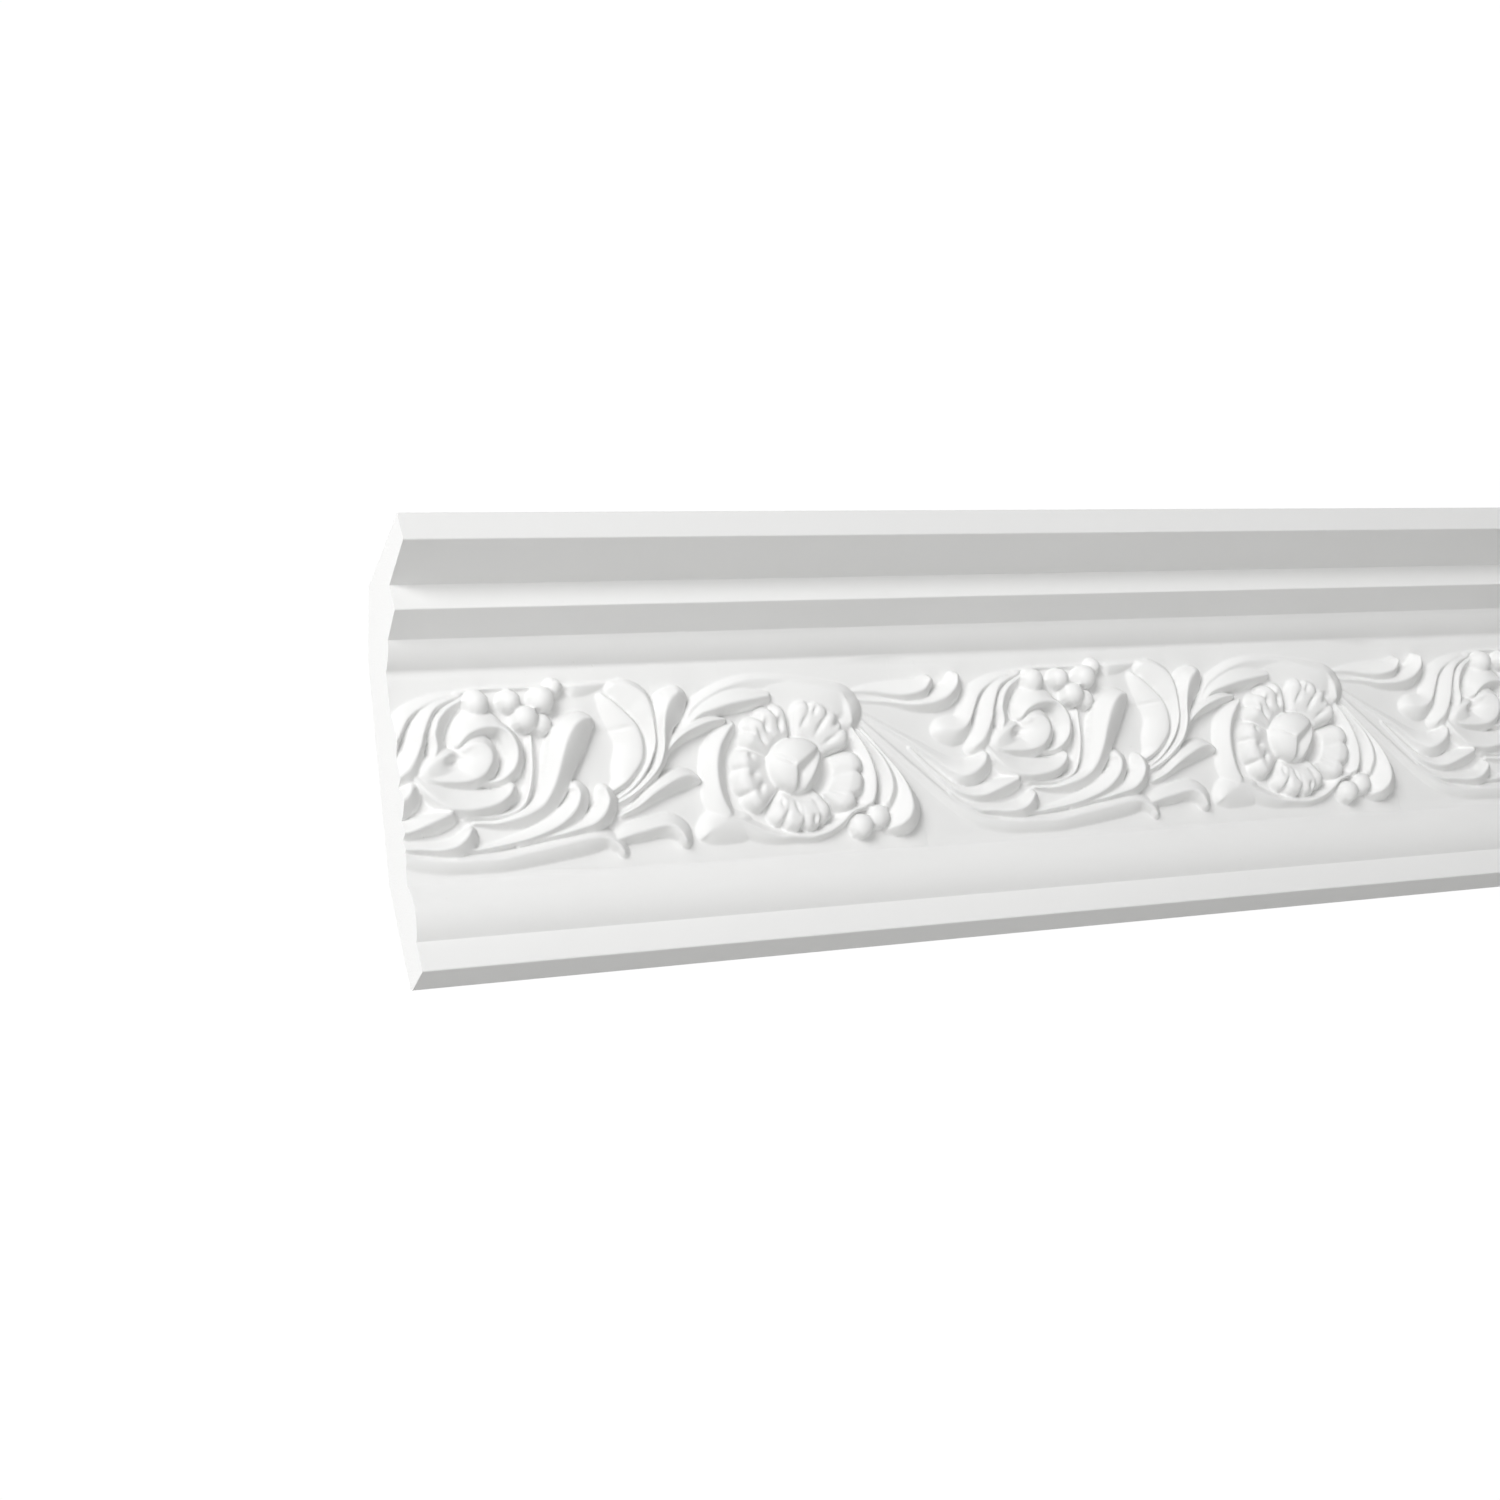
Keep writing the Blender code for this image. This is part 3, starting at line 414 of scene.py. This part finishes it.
rosette = {
    "centre": (133.2, 28.8),
    # middle and half angle, reach, lobes, then heights at radii
    "petals": {
        "upperRight": (53, 38, 24.2, 4, ((9, 2), (10.8, 4.2), (20, 5.9))),
        "upperLeft": (126, 32.5, 23, 4, ((10, 2.4), (12.4, 4.4), (18, 5.6))),
        "left": (191, 35, 23.2, 3, ((10.5, 2.2), (15, 4.4), (18.5, 5.6))),
        "low": (269, 41, 21.6, 4, ((9.4, 1.6), (11.6, 4.2), (16, 5.6))),
        "right": (-18, 32, 25.2, 3, ((11.6, 0), (12.7, 3.7), (19, 5.9))),
    },
    "rimWidth": 4.4,
    "rimRound": (2.4, 0.6),                                 # powers of the way down to the rim
    "sideRound": (7, 0.6),                                  # and down to either side
    "scallop": 1.9,
    "fingerDip": 0.5,
    "fingersFade": (10.8, 14.8),                            # radii between which the fingers part
    "cornerCut": (0.13, 3),                                 # share of the reach, and its power across
    "domeAt": (0.1, 0.6),                                   # the dome's middle, from the rosette's
    "domeRadii": (10.1, 9.1),
    "domeFoot": 3.0,
    "domeRise": 5.9,
    "domeRound": 0.5,
    "splitAt": (-2.5, -0.5),                                # where the dome's cracks meet, from its middle
    "wedge": (-90, 32),                                     # the open quarter, from angle, to angle
    "wedgeFlanks": (1.8, 1.0),                              # slopes down into it, from either side
    "ridgeFrom": (0.6, -9.2),
    "ridgeTo": (7.1, 1.6),
    "ridgeDrop": 0.9,                                       # below the whole dome
    "ridgeSlopes": (0.6, 0.8),                              # to the left and to the right of the ridge
    "crack": (147, 0.45, 1.1),                              # angle, half width, depth
    "crackSpan": 70,                                        # degrees to either side where it is cut
    "crackFade": 1.5,
}


def turnBetween(angle, middle):                             # signed degrees from a middle angle
    return (angle - middle + 180) % 360 - 180


def petalHeight(radius, angle, petal):
    middle, halfAngle, fullReach, lobes, profile = petal
    across = turnBetween(angle, middle) / halfAngle
    valley = 1 - np.abs(np.sin(math.pi * lobes / 2 * (across + 1)))
    cornerCut, cornerPower = rosette["cornerCut"]
    reach = fullReach * (1 - cornerCut * np.abs(across) ** cornerPower) - rosette["scallop"] * valley ** 2
    rim = np.clip(1 - (reach - radius) / rosette["rimWidth"], 0, 1)
    (rimPower, rimRound), (sidePower, sideRound) = rosette["rimRound"], rosette["sideRound"]
    body = (1 - rim ** rimPower) ** rimRound * np.clip(1 - np.abs(across) ** sidePower, 0, 1) ** sideRound
    dip = rosette["fingerDip"] * valley ** 2 * np.interp(radius, rosette["fingersFade"], (0, 1))
    rise = np.interp(radius, *zip(*profile)) - dip
    inside = (np.abs(across) < 1) & (radius < reach)
    return np.where(inside, rise * body, 0)


def raiseRosette(relief, u, v, shift):
    du = u - rosette["centre"][0] - shift
    dv = v - rosette["centre"][1]
    radius = np.hypot(du, dv)
    angle = np.degrees(np.arctan2(dv, du))
    for petal in rosette["petals"].values():
        np.maximum(relief, petalHeight(radius, angle, petal), out=relief)
    du, dv = du - rosette["domeAt"][0], dv - rosette["domeAt"][1]
    outwards = np.hypot(du / rosette["domeRadii"][0], dv / rosette["domeRadii"][1])
    dome = rosette["domeFoot"] + rosette["domeRise"] * np.clip(1 - outwards ** 2, 0, 1) ** rosette["domeRound"]
    splitU, splitV = du - rosette["splitAt"][0], dv - rosette["splitAt"][1]
    spokes = np.hypot(splitU, splitV)
    angle = np.degrees(np.arctan2(splitV, splitU))
    crackAngle, crackWidth, crackDepth = rosette["crack"]
    away = turnBetween(angle, crackAngle)
    crack = crackDepth * bell(np.radians(away) * spokes, crackWidth) * (np.abs(away) < rosette["crackSpan"])
    dome = dome - crack * np.clip(spokes / rosette["crackFade"], 0, 1)
    (fromU, fromV), (toU, toV) = rosette["ridgeFrom"], rosette["ridgeTo"]
    right = (du - fromU) * (toV - fromV) - (dv - fromV) * (toU - fromU)
    right /= math.hypot(toU - fromU, toV - fromV)
    slopeLeft, slopeRight = rosette["ridgeSlopes"]
    floor = dome - rosette["ridgeDrop"] - np.where(right > 0, right * slopeRight, -right * slopeLeft)
    fromAngle, toAngle = rosette["wedge"]
    for past, slope in zip((angle - fromAngle, toAngle - angle), rosette["wedgeFlanks"]):
        floor = np.maximum(floor, dome - slope * spokes * np.sin(np.radians(np.clip(past, 0, 90))))
    dome = np.where((angle > fromAngle) & (angle < toAngle), np.minimum(dome, floor), dome)
    relief[:] = np.where(outwards < 1, np.maximum(relief, dome), relief)


# Small tool marks: place, slant in degrees, length, width and depth
marks = {
    "upperLeftPetal": (
        ((123.4, 42.8), 90, 4.2, 1.7, 1.7), ((128.4, 43.2), 88, 4.2, 1.6, 1.6),
        ((126.6, 46.8), 110, 2.6, 1.3, 0.5), ((121.2, 39.3), -63, 5.6, 1.3, 1.3)),
    "leftPetal": (
        ((116.9, 33.2), 0, 2.6, 2.0, 1.2), ((117.6, 27.2), 10, 3.6, 2.2, 1.5),
        ((119.4, 22.6), 60, 3.4, 2.0, 1.5)),
    "lowPetal": (
        ((126.2, 17.3), 75, 2.8, 1.2, 1.0), ((126.6, 12.9), 50, 3.6, 1.2, 0.9),
        ((131.3, 15.3), 100, 4.2, 1.3, 1.0), ((136.8, 11.2), 80, 3.0, 1.8, 1.3),
        ((138.3, 16.5), 130, 4.0, 1.2, 0.5)),
    "upperRightPetal": (
        ((137.0, 43.3), 60, 4.5, 1.2, 0.9), ((141.5, 47.0), 60, 3.2, 1.4, 1.2),
        ((143.1, 42.0), 50, 5.0, 1.3, 1.1), ((149.6, 42.8), 35, 4.4, 2.4, 2.4),
        ((146.2, 37.0), 25, 4.5, 1.2, 0.9)),
    "rightPetal": (
        ((146.8, 30.7), 12, 4.8, 1.1, 0.8), ((148.2, 25.4), 4, 8.0, 1.2, 0.6),
        ((146.2, 19.6), -28, 6.0, 1.4, 0.8)),
    "berryRecesses": (
        ((56.8, 56.6), 80, 4.6, 3.2, 2.0), ((55.8, 51.2), 30, 4.4, 2.6, 1.4)),
    "spiralPit": (                                          # a hollow with a small leaf in it
        ((17.9, 36.9), 25, 5.4, 3.0, 4.4), ((17.6, 37.0), 30, 4.0, 1.2, -1.2)),
    "leafCrease": (
        ((73.6, 44.4), 4, 9.0, 1.3, 0.5),),
}


def pressMark(relief, u, v, place, slant, length, width, depth):
    du, dv = u - place[0], v - place[1]
    cos, sin = math.cos(math.radians(slant)), math.sin(math.radians(slant))
    relief -= depth * bell(du * cos + dv * sin, length / 2) * bell(dv * cos - du * sin, width / 2)


def softened(relief, step):                                 # the slight softness of a cast edge
    reach = int(3 * carving["softness"] / step) + 1
    weights = bell(np.arange(-reach, reach + 1) * step, carving["softness"] * math.sqrt(2))
    weights /= weights.sum()
    for axis, mode in ((0, "wrap"), (1, "edge")):
        pad = [(reach, reach) if k == axis else (0, 0) for k in (0, 1)]
        wide = np.pad(relief, pad, mode=mode)
        size = relief.shape[axis]
        relief = sum(weight * wide.take(range(k, k + size), axis=axis) for k, weight in enumerate(weights))
    return relief


def carvedTile():                                           # one repeat, lying flat, as a grid
    width = math.dist(casting["friezeFoot"], casting["friezeTop"])
    columns = round(casting["repeat"] / carving["gridStep"])
    rows = round(width / carving["gridStep"]) + 1
    along = np.arange(columns) * casting["repeat"] / columns
    u, v = np.meshgrid(along, np.linspace(0, width, rows), indexing="ij")
    relief = np.zeros_like(u)
    for shift in (-casting["repeat"], 0, casting["repeat"]):
        for stations in leaves.values():
            moved = [(station[0] + shift, *station[1:]) for station in stations]
            raiseLeaf(relief, u, v, moved)
        for centre, radius, height in berries.values():
            raiseBerry(relief, u, v, (centre[0] + shift, centre[1]), radius, height)
        raiseRosette(relief, u, v, shift)
        for group in marks.values():
            for (x, y), *cut in group:
                pressMark(relief, u, v, (x + shift, y), *cut)
    relief = softened(relief, carving["gridStep"])
    u = np.vstack([u, np.full(rows, casting["repeat"])])
    v = np.vstack([v, v[0]])
    relief = np.vstack([relief, relief[0]])
    corners = np.stack([u, v, relief], axis=-1).reshape(-1, 3) * mm
    first = (np.arange(columns)[:, None] * rows + np.arange(rows - 1)).ravel()
    quads = np.stack([first, first + rows, first + rows + 1, first + 1], axis=-1)
    mesh = bpy.data.meshes.new("carvedTile")
    mesh.from_pydata(corners.tolist(), [], quads.tolist())
    return mesh


def repeatTree():                                           # tiles in a row, cut to length, laid on the frieze
    nodes, given = newGeometryTree("carvedRun", {
        "Repeat": "Float", "Length": "Float", "Foot": "Vector", "Up": "Vector", "Proud": "Vector",
        "Cut slack": "Float", "Weld": "Float", "Coat": "Material",
    })
    count = given.maths("CEIL", given.also("Length") / given.also("Repeat"))
    stride = nodes.add("ShaderNodeCombineXYZ", None, {"X": given.also("Repeat")})
    places = nodes.add("GeometryNodeMeshLine", None, {"Count": count, "Offset": stride})
    tiles = nodes.add("GeometryNodeInstanceOnPoints", None,
        {"Points": places, "Instance": given.also("Geometry")})
    row = nodes.add("GeometryNodeRealizeInstances", None, {"Geometry": tiles})
    flat = nodes.add("GeometryNodeInputPosition")
    along = nodes.add("ShaderNodeSeparateXYZ", None, {"Vector": flat})
    beyond = along.also("X") > given.also("Length") + given.also("Cut slack")
    cut = nodes.add("GeometryNodeDeleteGeometry", {"domain": "POINT"}, {"Geometry": row, "Selection": beyond})
    welded = nodes.add("GeometryNodeMergeByDistance", None, {"Geometry": cut, "Distance": given.also("Weld")})
    start = nodes.add("ShaderNodeCombineXYZ", None, {"X": along.also("X")})
    laid = nodes.add("ShaderNodeVectorMath", {"operation": "ADD"}, {0: start, 1: given.also("Foot")})
    for direction, amount in (("Up", along.also("Y")), ("Proud", along.also("Z"))):
        part = nodes.add("ShaderNodeVectorMath", {"operation": "SCALE"},
            {"Vector": given.also(direction), "Scale": amount})
        laid = nodes.add("ShaderNodeVectorMath", {"operation": "ADD"}, {0: laid, 1: part})
    folded = nodes.add("GeometryNodeSetPosition", None, {"Geometry": welded, "Position": laid})
    whole = nodes.add("GeometryNodeRealizeInstances", None, {"Geometry": folded})
    coated = nodes.add("GeometryNodeSetMaterial", None, {"Geometry": whole, "Material": given.also("Coat")})
    nodes.add("NodeGroupOutput", None, {"Geometry": coated})
    return nodes.tree


def sweepTree():                                            # the section's line, drawn out along the run
    nodes, given = newGeometryTree("sweptBands", {"Length": "Float", "Coat": "Material"})
    run = nodes.add("ShaderNodeCombineXYZ", None, {"X": given.also("Length")})
    bands = nodes.add("GeometryNodeExtrudeMesh", {"mode": "EDGES"},
        {"Mesh": given.also("Geometry"), "Offset": run, "Offset Scale": 1.0})
    whole = nodes.add("GeometryNodeRealizeInstances", None, {"Geometry": bands})
    coated = nodes.add("GeometryNodeSetMaterial", None, {"Geometry": whole, "Material": given.also("Coat")})
    nodes.add("NodeGroupOutput", None, {"Geometry": coated})
    return nodes.tree


def arcBetween(start, end, rise, steps):                    # bulges to the right, given without its ends
    start, end = np.array(start), np.array(end)
    chord = math.dist(start, end)
    radius = (chord ** 2 / 4 + rise ** 2) / (2 * rise)
    halfAngle = math.asin(chord / (2 * radius))
    along = (end - start) / chord
    outward = np.array([along[1], -along[0]])
    angles = halfAngle * (2 * np.arange(1, steps) / steps - 1)
    return [tuple(start + along * (chord / 2 + radius * math.sin(angle))
        + outward * radius * (math.cos(angle) - math.cos(halfAngle))) for angle in angles]


def roundedCorner(before, corner, after, radius):           # a small arc with a support line on either side
    before, corner, after = np.array(before), np.array(corner), np.array(after)
    back = (before - corner) / math.dist(before, corner)
    ahead = (after - corner) / math.dist(after, corner)
    half = math.acos(np.clip(back @ ahead, -1, 1)) / 2
    tangent = radius / math.tan(half)
    middle = corner + (back + ahead) / np.linalg.norm(back + ahead) * radius / math.sin(half)
    start, end = corner + back * tangent - middle, corner + ahead * tangent - middle
    sweep = math.pi - 2 * half
    points = [corner + back * (tangent + casting["supportGap"])]
    for step in range(casting["cornerSteps"] + 1):
        t = step / casting["cornerSteps"]
        turned = start * math.sin((1 - t) * sweep) + end * math.sin(t * sweep)
        points.append(middle + turned / math.sin(sweep))
    points.append(corner + ahead * (tangent + casting["supportGap"]))
    return [tuple(point) for point in points]


def castingSection():                                       # from the frieze's top round the back to its foot
    c = casting
    arris, crease = c["arrisRadius"], c["creaseRadius"]
    ceilingFront = (c["projection"], c["drop"])
    heel = c["heelRadius"]
    footFront = (c["bulgeFoot"][0], 0.0)
    straight = [
        (c["ovoloTop"], arris), (c["fasciaFoot"], arris), (c["fasciaTop"], crease), (c["filletFoot"], arris),
        (ceilingFront, crease), ((c["ceilingFlatBack"], c["drop"]), 0), (c["backBend"], 0),
        ((0.0, c["wallFlatTop"]), 0), ((0.0, 0.0), heel), (footFront, arris), (c["bulgeFoot"], crease),
    ]
    ovolo = arcBetween(c["friezeTop"], c["ovoloTop"], c["ovoloRise"], c["arcSteps"])
    bulge = arcBetween(c["bulgeFoot"], c["friezeFoot"], c["bulgeRise"], c["arcSteps"])
    neighbours = [ovolo[-1]] + [corner for corner, radius in straight] + [bulge[0]]
    points = list(ovolo)
    for before, (corner, radius), after in zip(neighbours, straight, neighbours[2:]):
        points += roundedCorner(before, corner, after, radius) if radius else [corner]
    return points + bulge


def placed(along, depth, height):                           # the casting's millimetres to the frame's metres
    return Vector((boxLow.x + along * mm, boxHigh.y - depth * mm, boxLow.z + height * mm))


def carvedFrieze(coat):
    frieze = newPiece("carvedFrieze", carvedTile())
    foot = placed(0.0, *casting["friezeFoot"])
    up = placed(0.0, *casting["friezeTop"]) - foot
    putModifier(frieze, repeatTree(), {
        "Repeat": casting["repeat"] * mm, "Length": casting["length"] * mm, "Foot": foot,
        "Up": up.normalized(), "Proud": Vector((1, 0, 0)).cross(up).normalized(),
        "Cut slack": carving["cutSlack"] * mm, "Weld": carving["weld"] * mm, "Coat": coat,
    })
    grid = frieze.evaluated_get(bpy.context.evaluated_depsgraph_get()).data
    grid.calc_loop_triangles()
    thin = frieze.modifiers.new("thin", "DECIMATE")
    thin.ratio = carving["triangles"] / len(grid.loop_triangles)
    mesh = settledMesh(frieze, "carvedFrieze")
    print("carved frieze:", len(mesh.polygons), "triangles")
    return mesh


def sweptBands(coat):
    section = castingSection()
    line = bpy.data.meshes.new("section")
    edges = [(k, k + 1) for k in range(len(section) - 1)]
    line.from_pydata([placed(0.0, *point) for point in section], edges, [])
    bands = newPiece("sweptBands", line)
    putModifier(bands, sweepTree(), {"Length": casting["length"] * mm, "Coat": coat})
    mesh = settledMesh(bands, "sweptBands")
    print("bands:", len(mesh.polygons), "faces from a section of", len(section), "points")
    return mesh, len(section)


def settledRim(body):                                       # the frieze's thinned rim, straightened again
    foot, top = placed(0.0, *casting["friezeFoot"]), placed(0.0, *casting["friezeTop"])
    up = (top - foot).normalized()
    rim = {"start": [], "end": [], "foot": [], "top": []}
    for vert in (vert for vert in body.verts if vert.is_boundary):
        gaps = {
            "start": vert.co.x - boxLow.x, "end": boxHigh.x - vert.co.x,
            "foot": (vert.co - foot).dot(up), "top": (top - vert.co).dot(up),
        }
        for side, gap in gaps.items():
            if gap < carving["rimSlack"] * mm:
                rim[side].append(vert)
    for side, x in (("start", boxLow.x), ("end", boxHigh.x)):
        rim[side].sort(key=lambda vert: vert.co.dot(up))
        for vert in rim[side]:
            vert.co.x = x
    for side, corner in (("foot", foot), ("top", top)):
        rim[side].sort(key=lambda vert: vert.co.x)
        for vert in rim[side]:
            vert.co.yz = corner.yz
    return rim


def closedCasting(coat):                                    # frieze, bands and cut ends as one closed skin
    bands, sectionSize = sweptBands(coat)
    body = bmesh.new()
    body.from_mesh(carvedFrieze(coat))
    rim = settledRim(body)
    friezeSize = len(body.verts)
    body.from_mesh(bands)
    body.verts.ensure_lookup_table()
    starts = body.verts[friezeSize:friezeSize + sectionSize]
    ends = body.verts[friezeSize + sectionSize:]
    body.faces.new([starts[0]] + rim["top"] + [ends[0]])
    body.faces.new([starts[-1]] + rim["foot"] + [ends[-1]])
    cutEnds = [body.faces.new(rim["start"] + list(starts)), body.faces.new(rim["end"] + list(ends))]
    bmesh.ops.recalc_face_normals(body, faces=body.faces)
    for face in body.faces:
        face.smooth = True
    for edge in (edge for face in cutEnds for edge in face.edges):
        edge.smooth = False
    openEdges = sum(not edge.is_manifold for edge in body.edges)
    mesh = bpy.data.meshes.new("corniceCasting")
    body.to_mesh(mesh)
    body.free()
    mesh.materials.clear()
    mesh.materials.append(coat)
    mesh.calc_loop_triangles()
    print("casting:", len(mesh.loop_triangles), "triangles,", openEdges, "open edges")
    return newPiece("corniceCasting", mesh)


# The coat: a satin white skin with the faint grain of its mould, bare chalky foam where it is cut
coatLook = {
    "skin": (0.865, 0.865, 0.86, 1.0),
    "skinShade": (0.835, 0.835, 0.83, 1.0),
    "cutFoam": (0.93, 0.93, 0.925, 1.0),
    "skinRoughness": 0.62,
    "roughnessSpread": 0.12,
    "cutRoughness": 0.9,
    "cloudScale": 9.0,
    "cloudDetail": 4.0,
    "grainScale": 900.0,
    "grainDetail": 3.0,
    "grainHeight": 0.012,
    "swellScale": 90.0,
    "swellDetail": 2.0,
    "swellHeight": 0.05,
    "pimpleSpacing": 9.0,
    "pimpleRadius": 0.4,
    "pimpleHeight": 0.12,
    "foamScale": 1500.0,
    "foamHeight": 0.06,
    "cutSkin": 0.02,                                        # how deep a cut end counts as cut, in millimetres
    "specular": 0.3,
}


def whiteCoat():
    look = coatLook
    coat = bpy.data.materials.new("whiteCoat")
    coat.use_nodes = True
    nodes = Nodes(coat.node_tree)
    shader = coat.node_tree.nodes["Principled BSDF"]
    place = nodes.add("ShaderNodeTexCoord", out="Object")
    along = nodes.add("ShaderNodeSeparateXYZ", None, {"Vector": place})
    cut = abs(along - (boxLow.x + boxHigh.x) / 2) > (boxHigh.x - boxLow.x) / 2 - look["cutSkin"] * mm

    clouds = nodes.add("ShaderNodeTexNoise", None,
        {"Vector": place, "Scale": look["cloudScale"], "Detail": look["cloudDetail"]})
    skin = nodes.add("ShaderNodeMix", {"data_type": "RGBA"},
        {"Factor": clouds, 6: look["skinShade"], 7: look["skin"]}, out=2)
    colour = nodes.add("ShaderNodeMix", {"data_type": "RGBA"},
        {"Factor": cut, 6: skin, 7: look["cutFoam"]}, out=2)
    skinRoughness = clouds * look["roughnessSpread"] + (look["skinRoughness"] - look["roughnessSpread"] / 2)
    roughness = skinRoughness + cut * (look["cutRoughness"] - look["skinRoughness"])

    grain = nodes.add("ShaderNodeTexNoise", None,
        {"Vector": place, "Scale": look["grainScale"], "Detail": look["grainDetail"]})
    swell = nodes.add("ShaderNodeTexNoise", None,
        {"Vector": place, "Scale": look["swellScale"], "Detail": look["swellDetail"]})
    spacing = look["pimpleSpacing"] * mm
    nearest = nodes.add("ShaderNodeTexVoronoi", None, {"Vector": place, "Scale": 1 / spacing})
    pimple = (1 - nearest / (look["pimpleRadius"] / look["pimpleSpacing"])).clipped()
    skinHeight = grain * look["grainHeight"] + swell * look["swellHeight"] + pimple * look["pimpleHeight"]
    foam = nodes.add("ShaderNodeTexVoronoi", None, {"Vector": place, "Scale": look["foamScale"]})
    height = skinHeight * (1 - cut) + foam * cut * look["foamHeight"]
    bump = nodes.add("ShaderNodeBump", None, {"Strength": 1.0, "Distance": mm, "Height": height})
    nodes.fill(shader, {"Base Color": colour, "Roughness": roughness, "Normal": bump,
        "Specular IOR Level": look["specular"]})
    return coat


# The room: a pale floor far below, light walls all round and large soft lamps
studio = {
    "floorDrop": 1.2,
    "floorSize": 14.0,
    "floorColour": (0.8, 0.8, 0.79, 1.0),
    "floorRoughness": 0.8,
    "surround": 0.285,
    "backWall": 1.02,
    "backWallFrom": 0.8,
    "backWallTo": 0.905,
    "lampDistance": 2.4,
    "lampSize": 1.1,
    "lamps": {                                              # where each stands from the casting, and its power
        "keyLamp": ((-0.62, -0.78, 0.2), 38.0),
        "lowLamp": ((-0.5, -0.7, -0.5), 6.5),
        "endLamp": ((-1.0, 0.2, 0.05), 12.0),
    },
}

# The view of the photograph, as a place, the way the lens looks and its upward direction
photoView = {
    "place": (-0.42409, -0.62328, -0.28598),
    "look": (0.4241861, 0.7926212, 0.43797008),
    "up": (0.04817948, -0.50270567, 0.86311398),
    "lens": 55.36,
    "sensor": 36.0,
    "nearest": 0.01,
}


def aim(thing, place, look, up):                            # a light or camera looks along its own -Z
    back = -Vector(look).normalized()
    right = Vector(up).cross(back).normalized()
    turn = Matrix((right, back.cross(right), back)).transposed()
    thing.matrix_world = Matrix.Translation(place) @ turn.to_4x4()


def paleFloor():
    size, z = studio["floorSize"] / 2, -studio["floorDrop"]
    mesh = bpy.data.meshes.new("paleFloor")
    corners = [(-size, -size, z), (size, -size, z), (size, size, z), (-size, size, z)]
    mesh.from_pydata(corners, [], [(0, 1, 2, 3)])
    paint = bpy.data.materials.new("floorPaint")
    paint.use_nodes = True
    nodes = Nodes(paint.node_tree)
    nodes.fill(paint.node_tree.nodes["Principled BSDF"], {
        "Base Color": studio["floorColour"], "Roughness": studio["floorRoughness"]})
    mesh.materials.append(paint)
    floor = newPiece("paleFloor", mesh)


def lightWalls():                                           # brighter behind the casting than round the rest
    world = bpy.data.worlds.new("lightWalls")
    world.use_nodes = True
    bpy.context.scene.world = world
    nodes = Nodes(world.node_tree)
    direction = nodes.add("ShaderNodeTexCoord", out="Generated")
    look = nodes.add("ShaderNodeVectorMath", {"operation": "DOT_PRODUCT"},
        {0: direction, 1: photoView["look"]}, out="Value")
    share = ((look - studio["backWallFrom"]) / (studio["backWallTo"] - studio["backWallFrom"])).clipped()
    strength = share * (studio["backWall"] - studio["surround"]) + studio["surround"]
    nodes.fill(world.node_tree.nodes["Background"], {"Color": (1.0, 1.0, 1.0, 1.0), "Strength": strength})


def softLamps():
    for name, (side, power) in studio["lamps"].items():
        data = bpy.data.lights.new(name, "AREA")
        data.shape = "DISK"
        data.size = studio["lampSize"]
        data.energy = power
        away = Vector(side).normalized()
        aim(newPiece(name, data), away * studio["lampDistance"], -away, (0, 0, 1))


def photoCamera():
    data = bpy.data.cameras.new("photoCamera")
    data.lens = photoView["lens"]
    data.sensor_width = photoView["sensor"]
    data.clip_start = photoView["nearest"]
    camera = newPiece("photoCamera", data)
    aim(camera, photoView["place"], photoView["look"], photoView["up"])
    bpy.context.scene.camera = camera


cornice = closedCasting(whiteCoat())
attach(cornice, "root")
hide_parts(nodeName)
print("cornice in place")

paleFloor()
lightWalls()
softLamps()
photoCamera()
bpy.context.scene.view_settings.view_transform = "Standard"
print("studio set")
